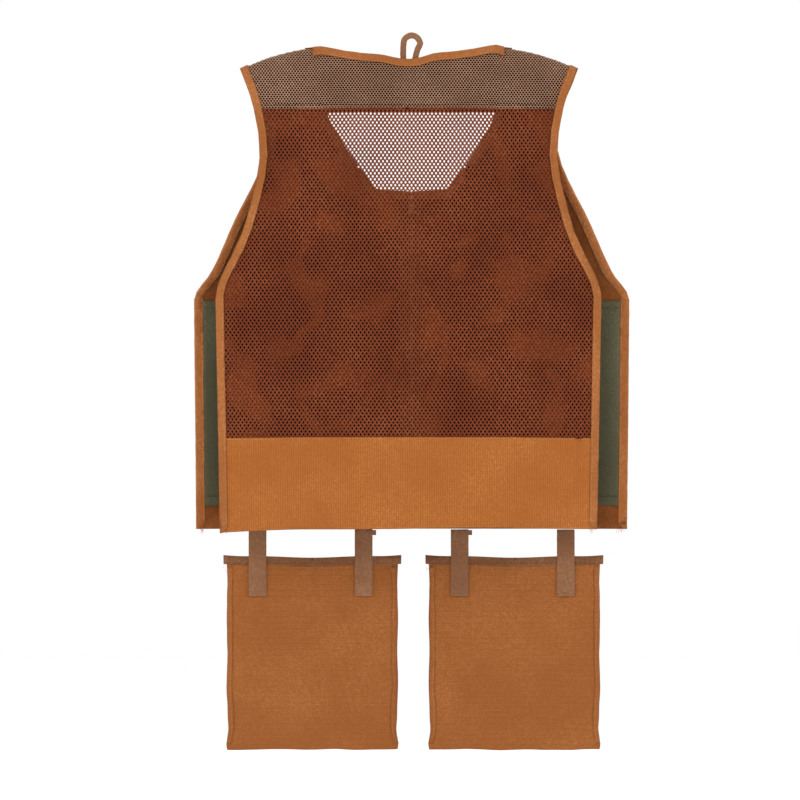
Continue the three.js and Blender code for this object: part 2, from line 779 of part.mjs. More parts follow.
function pouchBinding() {
  const out = tapeThickness + layGap / 2;
  const rimZ = pouchTopZ + seamGap;
  const section = [
    [layGap / 2, pouchTopZ - pouchTapeHeight], [out, pouchTopZ - pouchTapeHeight], [out, rimZ + tapeThickness],
    [-pouchWall - out, rimZ + tapeThickness], [-pouchWall - out, pouchTopZ - pouchTapeHeight],
    [-pouchWall - layGap / 2, pouchTopZ - pouchTapeHeight], [-pouchWall - layGap / 2, rimZ], [layGap / 2, rimZ],
  ];
  const share = (z) => clamp01(1 + (z - pouchTopZ) / pouchHeight);
  const rings = section.map(([push, z]) => pouchAngles.map((angle) => pouchPoint(angle, share(z), z, push)));
  return ringSolid(rings, true);
}

function buildPouches() {
  const x = pouchCentre + frontShift;
  const place = (geometry) => sheared(geometry, x, pouchLean);
  addPair('pouch', place(pouchBody().translate(x, pouchBackY, 0)), 'canvas', shiftAt);
  addPair('pouch_top_binding', place(pouchBinding().translate(x, pouchBackY, 0)), 'webbing', shiftAt);
  const top = hemZ - strapDrop;
  for (const [name, side] of [['inner', -1], ['outer', 1]]) {
    const sx = x + (side * strapSpacing) / 2;
    const strap = block(sx, strapY, (top + strapFootZ) / 2, strapWidth, strapThickness, top - strapFootZ);
    addPair(`pouch_strap_${name}`, place(strap), 'webbing', shiftAt);
  }
}

// Folded webbing ends across the inner straps, both turned the same way.
function buildKeepers() {
  const back = strapThickness / 2 + seamGap + strapThickness / 2;
  for (const [name, side] of [['left', -1], ['right', 1]]) {
    const x = frontShift + side * (pouchCentre - strapSpacing / 2) + (keeperWidth - strapWidth) / 2 + 3;
    const lean = side * pouchLean;
    const y = strapY - (pouchLean * strapSpacing) / 2 - back;
    const z = hemZ - 2 * strapDrop - keeperHeight / 2;
    const piece = sheared(block(x, y, z, keeperWidth, strapThickness, keeperHeight), x, lean);
    add(`strap_keeper_${name}`, piece, 'webbing');
  }
}

// Hang loop of flat tape in the plane of the origin, leaning to one side. Both ends are sewn to
// the wearer's side of the neck binding, so the garment is set back from it by that distance.
function buildHangLoop() {
  const legFoot = backNeckZ - 5;
  const route = new THREE.CatmullRomCurve3([
    [-7.2, legFoot], [-7.2, -12], [-5.4, -1], [2.4, loopTapeWidth / 2], [10.6, 2.4], [16.4, -6.4], [12.8, -15],
    [7.4, legFoot],
  ].map(([x, z]) => new THREE.Vector3(x, 0, z)), false, 'centripetal');
  const thick = loopTapeThickness / 2;
  const wide = loopTapeWidth / 2;
  const corners = [[-thick, -wide], [thick, -wide], [thick, wide], [-thick, wide]];
  const shape = new THREE.Shape(corners.map(([a, b]) => new THREE.Vector2(a, b)));
  const loop = new THREE.ExtrudeGeometry(shape, { steps: 28, extrudePath: route, bevelEnabled: false });
  add('hang_loop', loop, 'webbing', vest);

  const normal = normalAt(backYokePoint, 0, 0);
  const skin = yokeThickness / 2 + layGap + tapeThickness;
  const into = new THREE.Vector3(1, 0, 0).cross(normal);
  const tapeCorner = backYokePoint(0, 0).addScaledVector(normal, skin);
  tapeCorner.addScaledVector(into, tapeLip);
  garment.position.y = -(tapeCorner.y + seamGap + thick);
}

buildBackYoke();
buildBackPanels();
buildSideBindings();
buildBackNeckBinding();
buildFronts();
buildFrontNeckBindings();
buildInnerPockets();
buildZipper();
buildSlider();
buildPullTab();
buildPocket('chest', chestPocket);
buildPocket('lower', lowerPocket);
buildPouches();
buildKeepers();
buildHangLoop();

export default vest;
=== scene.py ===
"""Looks of a fishing vest: net back, canvas fronts with patch pockets, and two pouches under the hem."""

import json
import logging
import math
from collections.abc import Callable, Sequence
from dataclasses import dataclass, field
from enum import Enum

import bmesh
import bpy
import numpy as np
from mathutils import Matrix, Vector

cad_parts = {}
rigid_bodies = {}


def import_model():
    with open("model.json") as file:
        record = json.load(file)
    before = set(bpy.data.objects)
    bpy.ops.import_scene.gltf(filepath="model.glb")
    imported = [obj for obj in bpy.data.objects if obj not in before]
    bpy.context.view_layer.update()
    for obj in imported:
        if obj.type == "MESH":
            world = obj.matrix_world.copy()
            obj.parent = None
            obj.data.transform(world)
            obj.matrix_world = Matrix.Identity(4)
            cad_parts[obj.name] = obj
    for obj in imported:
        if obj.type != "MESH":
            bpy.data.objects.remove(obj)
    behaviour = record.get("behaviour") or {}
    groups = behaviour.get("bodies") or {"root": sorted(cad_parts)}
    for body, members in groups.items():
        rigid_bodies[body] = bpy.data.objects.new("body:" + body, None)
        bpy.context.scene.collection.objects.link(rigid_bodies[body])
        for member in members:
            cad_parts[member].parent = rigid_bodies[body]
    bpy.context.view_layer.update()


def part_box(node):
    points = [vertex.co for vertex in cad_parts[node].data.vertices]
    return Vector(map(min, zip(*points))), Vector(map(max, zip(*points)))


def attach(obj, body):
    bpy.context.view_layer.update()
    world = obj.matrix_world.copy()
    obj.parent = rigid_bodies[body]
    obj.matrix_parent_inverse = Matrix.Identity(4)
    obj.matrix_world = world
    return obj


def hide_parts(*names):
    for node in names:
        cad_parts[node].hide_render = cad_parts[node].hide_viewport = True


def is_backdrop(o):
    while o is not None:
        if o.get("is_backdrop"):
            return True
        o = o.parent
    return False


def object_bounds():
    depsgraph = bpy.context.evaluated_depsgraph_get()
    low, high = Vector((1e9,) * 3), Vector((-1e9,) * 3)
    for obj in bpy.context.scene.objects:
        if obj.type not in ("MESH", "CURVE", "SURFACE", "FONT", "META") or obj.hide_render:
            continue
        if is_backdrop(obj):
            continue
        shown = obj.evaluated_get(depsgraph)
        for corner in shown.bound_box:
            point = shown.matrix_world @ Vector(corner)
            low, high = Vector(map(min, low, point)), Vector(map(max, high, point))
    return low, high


LOG = logging.getLogger("fishing_vest")
MM = 0.001
WELD = 2e-6
SLIVER = 2e-5
FLAT_ANGLE = 0.02
EDGE_ANGLE = 0.7
SHARP_ANGLE = 0.9
MOST_HALVINGS = 12
Rgb = tuple[float, float, float]
Array = np.ndarray
Surface = Callable[[Array, Array], Array]
Move = Callable[[Array, Array], Array]


class Face(Enum):
    """The two halves of the garment."""

    BACK = "back"
    FRONT = "front"


class Side(Enum):
    """A side of the garment as the wearer has it: the sign of x."""

    RIGHT = 1
    LEFT = -1

    @property
    def word(self) -> str:
        """The side's word in the names of nodes and bodies."""
        return self.name.lower()


def srgb(red: int, green: int, blue: int) -> Rgb:
    """Turn an 8-bit display colour into linear light.

    Args:
        red: Red from 0 to 255.
        green: Green from 0 to 255.
        blue: Blue from 0 to 255.

    Returns:
        The linear colour.
    """
    def linear(value: float) -> float:
        """One channel in linear light."""
        return value / 12.92 if value <= 0.04045 else ((value + 0.055) / 1.055) ** 2.4

    return tuple(linear(c / 255) for c in (red, green, blue))


def ripple(points: Array, length: float, seed: float) -> Array:
    """Smooth irregular waves through space, from -1 to 1.

    Args:
        points: Places in millimetres, one row each.
        length: Rough length of a wave in millimetres.
        seed: Moves the pattern.

    Returns:
        One value for each place.
    """
    x, y, z = (points[..., i] * 2 * math.pi / length for i in range(3))
    first = np.sin(x + 0.7 * z + seed) * np.cos(0.9 * z - 0.4 * x + 1.7 * seed)
    second = np.sin(1.83 * z + 0.6 * np.sin(1.3 * x + seed) + 2.3 * seed)
    third = np.sin(2.31 * x - 1.27 * z + 0.8 * y + 3.1 * seed)
    return 0.5 * first + 0.3 * second + 0.2 * third


@dataclass(frozen=True)
class Outline:
    """A smooth half width against height, given from the top down in millimetres."""

    points: tuple[tuple[float, float], ...]

    def at(self, z: Array) -> Array:
        """Half width at each height.

        Args:
            z: Heights in millimetres.

        Returns:
            Half widths in millimetres.
        """
        heights = np.array([p[0] for p in self.points])
        widths = np.array([p[1] for p in self.points])
        secants = np.diff(widths) / np.diff(heights)
        above = secants[np.maximum(np.arange(len(widths)) - 1, 0)]
        below = secants[np.minimum(np.arange(len(widths)), len(secants) - 1)]
        same = above * below > 0
        slopes = np.where(same, 2 * above * below / np.where(same, above + below, 1), 0)
        i = np.clip(np.searchsorted(-heights, -np.asarray(z), side="left"), 1, len(heights) - 1) - 1
        span = heights[i + 1] - heights[i]
        t = np.clip((z - heights[i]) / span, 0, 1)
        rise = t * t * (3 - 2 * t)
        ease = span * t * (1 - t)
        return (widths[i] + (widths[i + 1] - widths[i]) * rise
            + ease * (slopes[i] * (1 - t) - slopes[i + 1] * t))


@dataclass(frozen=True)
class Garment:
    """The two shells of the garment, in millimetres, before the hang loop's set-back is added."""

    shoulder_top: float = -13
    shoulder_slope: float = 30
    shoulder_half: float = 234
    shoulder_start: float = 110
    neck_half: float = 135
    neck_stand: float = 6.5
    neck_lean: float = 1.2
    back_neck: float = -31
    back_yoke: float = -97
    front_yoke: float = -178
    front_neck: float = -212
    zipper_gap: float = 9.0
    neck_seam_half: float = 76
    neck_foot_half: float = 50
    waistband: float = -559
    hem: float = -687
    side_depth: dict[Face, float] = field(default_factory=lambda: {Face.BACK: 14, Face.FRONT: 12})
    belly_depth: dict[Face, float] = field(default_factory=lambda: {Face.BACK: 34, Face.FRONT: 30})
    crown: dict[Face, float] = field(default_factory=lambda: {Face.BACK: 2.2, Face.FRONT: 4})
    shoulder_fold: float = 40
    belly_rise: float = 170
    front_shift: float = 4.5
    set_back: float = 14.51
    seam_gap: float = 0.4
    back_outline: Outline = Outline(((-43, 234), (-97, 215), (-158, 206), (-268, 229), (-366, 268),
                                     (-687, 262)))
    front_outline: Outline = Outline(
        ((-43, 234), (-137, 200), (-268, 252), (-326.8, 278.52), (-366, 303), (-687, 300))
    )
    neck_outline: Outline = Outline(((-14.22, 135), (-97, 122), (-178, 76), (-212, 50)))

    def half(self, face: Face, z: Array) -> Array:
        """Half width of a face at each height."""
        return (self.back_outline if face is Face.BACK else self.front_outline).at(z)

    def ridge(self, x: Array) -> Array:
        """Height of the shoulder ridge at each x."""
        run = (np.abs(x) - self.shoulder_start) / (self.shoulder_half - self.shoulder_start)
        return self.shoulder_top - self.shoulder_slope * np.maximum(0, run) ** 2

    def depth(self, face: Face, x: Array, drop: Array) -> Array:
        """Distance of a face from the plane of the shoulders.

        Args:
            face: Back or front.
            x: Places across.
            drop: Distances below the ridge.

        Returns:
            Depths in millimetres.
        """
        across = np.abs(x) / self.half(face, self.ridge(x) - drop)
        crown = 1 - across ** self.crown[face]
        folded = np.sqrt(1 - (1 - np.clip(drop / self.shoulder_fold, 0, 1)) ** 2)
        risen = 1 - (1 - np.clip(drop / self.belly_rise, 0, 1)) ** 2
        return self.seam_gap / 2 + self.side_depth[face] * folded + self.belly_depth[face] * crown * risen

    def shift(self, z: Array) -> Array:
        """How far the fronts hang to one side at each height."""
        return self.front_shift * (
            1 - (1 - np.clip((self.shoulder_top - z) / self.belly_rise, 0, 1)) ** 2)

    def point(self, face: Face, x: Array, z: Array) -> Array:
        """Places on a face.

        Args:
            face: Back or front.
            x: Places across, before the fronts' shift.
            z: Heights.

        Returns:
            Places in millimetres in the frame, one row each.
        """
        depth = self.depth(face, x, np.maximum(0, self.ridge(x) - z))
        if face is Face.BACK:
            return np.stack([x, self.set_back - depth, z], -1)
        return np.stack([x + self.shift(z), self.set_back + depth, z], -1)

    def dropped(self, face: Face, rule: Callable[[Array], Array], root: Array) -> Array:
        """Places at a drop of root squared, whose x follows a rule of their height."""
        x = rule(self.shoulder_top - root**2)
        for _ in range(6):
            x = rule(self.ridge(x) - root**2)
        return self.point(face, x, self.ridge(x) - root**2)

    def neck_height(self, x: Array) -> Array:
        """Height of the back neck's edge at each x."""
        end = self.ridge(np.array(self.neck_half))
        share = np.minimum(np.abs(x), self.neck_half) / self.neck_half
        dip = self.back_neck + (end - self.back_neck) * share**2.4
        return np.where(np.abs(x) >= self.neck_half, self.ridge(x), dip)

    def neck_rise(self, x: Array) -> Array:
        """How far the soft back neck stands up beside its middle, at each x."""
        climb = np.clip((np.abs(x) - 6) / 36, 0, 1)
        fall = np.clip((136 - np.abs(x)) / 20, 0, 1)
        height = self.neck_stand + self.neck_lean * np.sign(x)
        return height * climb**2 * (3 - 2 * climb) * fall**2 * (3 - 2 * fall)

    def back_yoke_at(self, s: Array, v: Array) -> Array:
        """Places on the back yoke: s across from -1 to 1, v down from 0 to 1."""
        top_x = np.abs(s) * self.shoulder_half
        top = np.sqrt(np.maximum(0, self.ridge(top_x) - self.neck_height(top_x)))
        foot_x = np.abs(s) * self.half(Face.BACK, np.array(self.back_yoke))
        foot = np.sqrt(self.ridge(foot_x) - self.back_yoke)
        root = np.maximum(0, top + (foot - top) * v)
        return self.dropped(Face.BACK, lambda z: s * self.half(Face.BACK, z), root)

    def back_panel_at(self, top: float, foot: float) -> Surface:
        """Surface of a panel of the back between two heights."""
        def surface(s: Array, v: Array) -> Array:
            """Places at s across from -1 to 1 and v down from 0 to 1."""
            z = top + (foot - top) * v
            return self.point(Face.BACK, s * self.half(Face.BACK, z), z)

        return surface

    def front_yoke_at(self, u: Array, v: Array) -> Array:
        """Places on the right front yoke: u from the neck out, v down."""
        foot = self.front_yoke + self.seam_gap

        def rule(z: Array) -> Array:
            """Place across at each height."""
            neck = self.neck_outline.at(z)
            return neck + (self.half(Face.FRONT, z) - neck) * u

        x = rule(np.array(foot))
        root = np.maximum(0, v) * np.sqrt(self.ridge(x) - foot)
        return self.dropped(Face.FRONT, rule, root)

    def front_panel_at(self, u: Array, v: Array) -> Array:
        """Places on the right front: u from the zipper out, v down."""
        gap = self.zipper_gap

        def share(half: float, z: float) -> float:
            """Share across at which the neck edge meets a height."""
            return (half - gap) / (float(self.half(Face.FRONT, np.array(z))) - gap)

        foot = share(self.neck_foot_half, self.front_neck)
        seam = share(self.neck_seam_half, self.front_yoke)
        climb = np.clip((u - foot) / (seam - foot), 0, 1)
        top = self.front_neck + (self.front_yoke - self.front_neck) * climb
        z = top + (self.hem - top) * v
        return self.point(Face.FRONT, gap + (self.half(Face.FRONT, z) - gap) * u, z)

    def mirrored(self, places: Array) -> Array:
        """The same places on the left front."""
        turned = places.copy()
        turned[..., 0] = 2 * self.shift(places[..., 2]) - places[..., 0]
        return turned


def normals(places: Array) -> Array:
    """Unit normals of a grid of places.

    Args:
        places: Rows by columns by three.

    Returns:
        Normals in the same layout.
    """
    down, across = np.gradient(places, axis=0), np.gradient(places, axis=1)
    found = np.cross(down, across)
    return found / np.maximum(np.linalg.norm(found, axis=-1, keepdims=True), 1e-9)


def outward(places: Array, face: Face) -> Array:
    """Unit normals of a grid of places that point away from the wearer."""
    found = normals(places)
    away = -1 if face is Face.BACK else 1
    return found * np.where(found[..., 1:2] * away < 0, -1, 1)


def placed(name: str, data: bpy.types.ID) -> bpy.types.Object:
    """A new object in the scene that shows some data."""
    made = bpy.data.objects.new(name, data)
    bpy.context.scene.collection.objects.link(made)
    return made


def box_mm(node: str) -> tuple[Array, Array]:
    """The two corners of a CAD node's box in millimetres."""
    low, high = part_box(node)
    return np.array(low) / MM, np.array(high) / MM


def hit_along_y(piece: bpy.types.Object, x: float, z: float, y: float = -200.0) -> Array | None:
    """Where a ray along y, from well behind the garment or in front of it, meets a piece, in mm."""
    hit, place, _, _ = piece.ray_cast(Vector((x, y, z)) * MM, Vector((0, math.copysign(1, -y), 0)))
    return np.array(place) / MM if hit else None


def mesh_object(name: str, places: Array, faces: Sequence[Sequence[int]],
                uv: Array | None = None) -> bpy.types.Object:
    """Make an object from places in millimetres.

    Args:
        name: Name of the piece.
        places: Corners, one row each.
        faces: Corner numbers of each face.
        uv: Flat cloth coordinates of each corner in metres.

    Returns:
        The object, at the origin.
    """
    mesh = bpy.data.meshes.new(name)
    mesh.from_pydata((np.asarray(places).reshape(-1, 3) * MM).tolist(), [],
                     [list(f) for f in faces])
    mesh.update()
    if uv is not None:
        layer = mesh.uv_layers.new(name="cloth")
        corners = np.zeros(len(mesh.loops), np.int32)
        mesh.loops.foreach_get("vertex_index", corners)
        layer.data.foreach_set(
            "uv", np.asarray(uv, float).reshape(-1, 2)[corners].astype(np.float32).ravel())
    mesh.polygons.foreach_set("use_smooth", [True] * len(mesh.polygons))
    return placed(name, mesh)


def grid_faces(rows: int, columns: int, start: int = 0) -> list[list[int]]:
    """Quads of a grid of corners.

    Args:
        rows: Corners down.
        columns: Corners across.
        start: Number of the first corner.

    Returns:
        The quads.
    """
    corner = np.arange(rows * columns).reshape(rows, columns) + start
    return np.stack([corner[:-1, :-1], corner[:-1, 1:], corner[1:, 1:], corner[1:, :-1]],
                    -1).reshape(-1, 4).tolist()


def cloth_sheet(name: str, places: Array, away: Array, thickness: float) -> bpy.types.Object:
    """A closed sheet of cloth round a grid of places, with its flat coordinates as UVs.

    Args:
        name: Name of the piece.
        places: Rows by columns by three, in millimetres.
        away: Unit normals in the same layout.
        thickness: Thickness of the cloth.

    Returns:
        The piece.
    """
    rows, columns = places.shape[:2]
    outer, inner = places + away * thickness / 2, places - away * thickness / 2
    corners = np.concatenate([outer.reshape(-1, 3), inner.reshape(-1, 3)])
    faces = grid_faces(rows, columns)
    faces += [list(reversed(f)) for f in grid_faces(rows, columns, rows * columns)]
    index = np.arange(rows * columns).reshape(rows, columns)
    rim = np.concatenate([index[0, :], index[1:, -1], index[-1, -2::-1], index[-2:0:-1, 0]])
    for a, b in zip(rim, np.roll(rim, -1)):
        faces.append([int(b), int(a), int(a) + rows * columns, int(b) + rows * columns])
    flat = flat_layout(places)
    piece = mesh_object(name, corners, faces, np.concatenate([flat, flat]))
    facing_out(piece)
    return piece


def flat_layout(places: Array) -> Array:
    """Flat cloth coordinates of a grid: x as it lies, and the length of cloth up from the foot row.

    Args:
        places: Rows by columns by three, in millimetres.

    Returns:
        One pair for each corner, in metres.
    """
    lengths = np.linalg.norm(np.diff(places[::-1, :, 1:], axis=0), axis=-1)
    up = np.concatenate([np.zeros((1, places.shape[1])), np.cumsum(lengths, axis=0)])[::-1]
    return (np.stack([places[..., 0], up], -1) * MM).reshape(-1, 2)


def facing_out(piece: bpy.types.Object) -> None:
    """Turn every face of a closed piece outwards."""
    work = bmesh.new()
    work.from_mesh(piece.data)
    bmesh.ops.remove_doubles(work, verts=work.verts, dist=1e-6)
    bmesh.ops.recalc_face_normals(work, faces=work.faces)
    work.to_mesh(piece.data)
    work.free()


def from_node(name: str, node: str, longest: float, move: Move | None = None,
              rounded: float = 0.0) -> bpy.types.Object:
    """A finer copy of a CAD node, reshaped by a rule.

    Args:
        name: Name of the piece.
        node: CAD node it starts from.
        longest: Longest edge left, in millimetres.
        move: Gives new places from places and normals, in millimetres.
        rounded: Radius of its edges in millimetres.

    Returns:
        The piece.
    """
    work = bmesh.new()
    work.from_mesh(bpy.data.objects[node].data)
    bmesh.ops.remove_doubles(work, verts=work.verts, dist=WELD)
    bmesh.ops.dissolve_limit(work, angle_limit=FLAT_ANGLE, verts=work.verts, edges=work.edges)
    if rounded:
        sharp = [e for e in work.edges if len(e.link_faces) == 2
                 and e.calc_face_angle(0) > EDGE_ANGLE]
        bmesh.ops.bevel(work, geom=sharp, offset=rounded * MM, segments=2, affect="EDGES",
                        profile=0.6)
    bmesh.ops.triangulate(work, faces=work.faces)
    bmesh.ops.dissolve_degenerate(work, dist=SLIVER, edges=work.edges)
    for _ in range(MOST_HALVINGS):
        long_edges = [e for e in work.edges if e.calc_length() > longest * MM]
        if not long_edges:
            break
        bmesh.ops.subdivide_edges(work, edges=long_edges, cuts=1)
        bmesh.ops.triangulate(work, faces=[f for f in work.faces if len(f.verts) > 3])
        bmesh.ops.dissolve_degenerate(work, dist=SLIVER, edges=work.edges)
    bmesh.ops.recalc_face_normals(work, faces=work.faces)
    work.normal_update()
    if move:
        places = np.array([v.co for v in work.verts]) / MM
        away = np.array([v.normal for v in work.verts])
        for vert, place in zip(work.verts, move(places, away)):
            vert.co = Vector(place) * MM
    mesh = bpy.data.meshes.new(name)
    work.to_mesh(mesh)
    work.free()
    mesh.validate()
    mesh.polygons.foreach_set("use_smooth", [True] * len(mesh.polygons))
    if rounded == 0.0:
        mesh.set_sharp_from_angle(angle=SHARP_ANGLE)
    return placed(name, mesh)


class Graph:
    """A node tree under construction."""

    def __init__(self, tree: bpy.types.NodeTree) -> None:
        """Start from an empty tree."""
        self.tree = tree
        tree.nodes.clear()

    def socket(self, name: str, kind: str, output: bool = False, value: object = None) -> None:
        """Add a named input or output to the tree.

        Args:
            name: Name of the socket.
            kind: Its socket type, such as Float.
            output: True for an output.
            value: Default of an input.
        """
        made = self.tree.interface.new_socket(name=name, in_out="OUTPUT" if output else "INPUT",
                                              socket_type=f"NodeSocket{kind}")
        if value is not None:
            made.default_value = value

    def add(self, kind: str, inputs: dict | None = None, **settings: object) -> bpy.types.Node:
        """Add a node.

        Args:
            kind: Type of the node.
            inputs: Value or source socket of each input, by name or number.
            settings: Properties of the node.

        Returns:
            The node.
        """
        node = self.tree.nodes.new(kind)
        for key, value in settings.items():
            setattr(node, key, value)
        for key, value in (inputs or {}).items():
            self.feed(node.inputs[key], value)
        return node

    def feed(self, target: bpy.types.NodeSocket, value: object) -> None:
        """Link an input to a socket, or set it to a value."""
        if isinstance(value, bpy.types.NodeSocket):
            self.tree.links.new(value, target)
        else:
            target.default_value = value

    def span(self, value: object, low: float, high: float, first: float = 0.0,
             last: float = 1.0) -> bpy.types.NodeSocket:
        """A value carried from one range to another, and held there."""
        return self.add("ShaderNodeMapRange",
                        {"Value": value, 1: low, 2: high, 3: first, 4: last}).outputs[0]

    def place(self) -> bpy.types.NodeSocket:
        """The position field."""
        return self.add("GeometryNodeInputPosition").outputs[0]

    def math(self, kind: str, a: object, b: object = 0.0, c: object = 0.0) -> bpy.types.NodeSocket:
        """Result of a number sum; the operations are Blender's own."""
        return self.add("ShaderNodeMath", {0: a, 1: b, 2: c}, operation=kind).outputs[0]

    def vector(self, kind: str, a: object, b: object = (0, 0, 0),
               scale: object = None) -> bpy.types.NodeSocket:
        """Result of a vector sum; the operations are Blender's own."""
        inputs = {0: a, 1: b}
        if scale is not None:
            inputs["Scale"] = scale
        return self.add("ShaderNodeVectorMath", inputs, operation=kind).outputs[0]

    def group(self, group: bpy.types.NodeTree, inputs: dict) -> bpy.types.Node:
        """Place a shader node group."""
        return self.add("ShaderNodeGroup", inputs, node_tree=group)


def rgba(color: Rgb) -> tuple[float, float, float, float]:
    """A linear colour with full alpha."""
    return (*color, 1.0)


def weave_group() -> bpy.types.NodeTree:
    """Crossed threads.

    Returns:
        A group that puts out the height of the threads and a mask of the gaps between them.
    """
    tree = bpy.data.node_groups.new("thread_weave", "ShaderNodeTree")
    graph = Graph(tree)
    graph.socket("Vector", "Vector")
    graph.socket("Across", "Float", value=300.0)
    graph.socket("Up", "Float", value=300.0)
    graph.socket("Wander", "Float", value=0.4)
    graph.socket("Height", "Float", output=True)
    graph.socket("Gaps", "Float", output=True)
    source = graph.add("NodeGroupInput")
    wander = graph.add("ShaderNodeTexNoise", {"Vector": source.outputs["Vector"], "Scale": 90.0,
                                              "Detail": 2.0})
    across = graph.add("ShaderNodeTexWave", {"Vector": source.outputs["Vector"],
                                             "Scale": source.outputs["Across"],
                       "Distortion": source.outputs["Wander"], "Detail": 1.0}, bands_direction="X")
    up = graph.add("ShaderNodeTexWave", {"Vector": source.outputs["Vector"],
                                         "Scale": source.outputs["Up"],
                   "Distortion": source.outputs["Wander"], "Detail": 1.0}, bands_direction="Z")
    woven = graph.math("MULTIPLY_ADD", across.outputs["Fac"], 0.5,
                       graph.math("MULTIPLY", up.outputs["Fac"], 0.5))
    height = graph.math("MULTIPLY_ADD", wander.outputs["Fac"], 0.35, woven)
    gaps = graph.span(woven, 0.55, 0.15)
    graph.add("NodeGroupOutput", {"Height": height, "Gaps": gaps})
    return tree


def wear_group() -> bpy.types.NodeTree:
    """Uneven dye, dust, rubbed places and painted shade in the gaps of the weave.

    Returns:
        A group that puts out a colour and a mask of the rubbed places.
    """
    tree = bpy.data.node_groups.new("cloth_wear", "ShaderNodeTree")
    graph = Graph(tree)
    graph.socket("Vector", "Vector")
    for name in ("Dye", "Shade", "Rubbed"):
        graph.socket(name, "Color", value=(0.5, 0.5, 0.5, 1))
    graph.socket("Patch Scale", "Float", value=9.0)
    graph.socket("Shade Share", "Float", value=0.5)
    graph.socket("Rub Share", "Float", value=0.4)
    graph.socket("Gaps", "Float", value=0.0)
    graph.socket("Color", "Color", output=True)
    graph.socket("Rub", "Float", output=True)
    source = graph.add("NodeGroupInput")
    out = source.outputs
    broad = graph.add("ShaderNodeTexNoise", {"Vector": out["Vector"], "Scale": out["Patch Scale"],
                                             "Detail": 3.0,
                      "Roughness": 0.55})
    fine = graph.add("ShaderNodeTexNoise", {"Vector": out["Vector"], "Scale": 300.0, "Detail": 2.0,
                     "Roughness": 0.7})
    shade = graph.math("MULTIPLY", graph.span(broad.outputs["Fac"], 0.36, 0.62), out["Shade Share"])
    speck = graph.span(fine.outputs["Fac"], 0.42, 0.72)
    high = graph.span(broad.outputs["Fac"], 0.6, 0.35, 0.35)
    rub = graph.math("MULTIPLY", graph.math("MULTIPLY", speck, high), out["Rub Share"])
    first = mix_color(graph, shade, out["Dye"], out["Shade"])
    # The weave's gaps are darkened towards the shade colour: painted shade between threads.
    gaps = graph.math("MULTIPLY", out["Gaps"], 0.55)
    second = mix_color(graph, gaps, first, out["Shade"])
    third = mix_color(graph, rub, second, out["Rubbed"])
    graph.add("NodeGroupOutput", {"Color": third, "Rub": rub})
    return tree


def mix_color(graph: Graph, share: object, first: object, second: object) -> bpy.types.NodeSocket:
    """Mix two colours.

    Args:
        graph: Tree it goes in.
        share: Share of the second colour.
        first: Colour or socket at share 0.
        second: Colour or socket at share 1.

    Returns:
        The mixed colour's socket.
    """
    return graph.add("ShaderNodeMix", {0: share, 6: first, 7: second}, data_type="RGBA").outputs[2]


def new_material(name: str) -> tuple[bpy.types.Material, Graph, bpy.types.NodeSocket]:
    """An empty material, its tree and its place in the object's own space."""
    material = bpy.data.materials.new(name)
    material.use_nodes = True
    graph = Graph(material.node_tree)
    return material, graph, graph.add("ShaderNodeTexCoord").outputs["Object"]


@dataclass(frozen=True)
class Cloth:
    """A woven or knitted finish."""

    name: str
    dye: Rgb
    shade: Rgb
    rubbed: Rgb
    across: float = 330.0
    up: float = 330.0
    wander: float = 0.5
    relief: float = 0.25
    roughness: float = 0.88
    sheen: float = 0.03
    patch: float = 9.0
    shade_share: float = 0.55
    rub_share: float = 0.5
    ribs: float = 0.0
    rib_axis: str = "X"
    rib_share: float = 0.55
    # Colour of painted light patches, where the inner cloth comes near the net and catches light.
    presses: Rgb | None = None

    def make(self, groups: "Groups") -> bpy.types.Material:
        """Build the material.

        Args:
            groups: The shared effects.

        Returns:
            The material.
        """
        material, graph, place = new_material(self.name)
        weave = graph.group(groups.weave, {"Vector": place, "Across": self.across, "Up": self.up,
                                           "Wander": self.wander})
        wear = graph.group(groups.wear, {"Vector": place, "Dye": rgba(self.dye),
                                         "Shade": rgba(self.shade),
                                         "Rubbed": rgba(self.rubbed), "Patch Scale": self.patch,
                                         "Shade Share": self.shade_share,
                                         "Rub Share": self.rub_share,
                                         "Gaps": weave.outputs["Gaps"]})
        color, height = wear.outputs["Color"], weave.outputs["Height"]
        # Rib troughs are darkened towards the shade colour: painted shade in the grooves.
        if self.ribs:
            rib = graph.add("ShaderNodeTexWave",
                            {"Vector": place, "Scale": self.ribs, "Distortion": 1.1,
                            "Detail": 2.0, "Detail Scale": 2.5, "Detail Roughness": 0.6},
                            bands_direction=self.rib_axis)
            color = mix_color(graph, graph.math("MULTIPLY", rib.outputs["Fac"], self.rib_share),
                              color,
                              rgba(self.shade))
            height = graph.math("MULTIPLY_ADD", rib.outputs["Fac"], -2.5 * self.rib_share, height)
        # Lighter noise patches towards this colour: painted light on the shaded inside.
        if self.presses:
            painted_light_spots = graph.add("ShaderNodeTexNoise", {"Vector": place, "Scale": 17.0, "Detail": 1.5,
                              "Distortion": 0.5})
            color = mix_color(graph, graph.span(painted_light_spots.outputs["Fac"], 0.52, 0.6), color,
                              rgba(self.presses))
        rough = graph.span(wear.outputs["Rub"], 0.0, 0.6, self.roughness,
                           max(0.2, self.roughness - 0.12))
        bump = graph.add("ShaderNodeBump", {"Strength": 0.7, "Distance": self.relief * MM,
                                            "Height": height})
        shader = graph.add("ShaderNodeBsdfPrincipled", {"Base Color": color, "Roughness": rough,
                           "Normal": bump.outputs["Normal"], "Sheen Weight": self.sheen,
                           "Sheen Roughness": 0.5, "Specular IOR Level": 0.12})
        graph.add("ShaderNodeOutputMaterial", {"Surface": shader.outputs[0]})
        return material


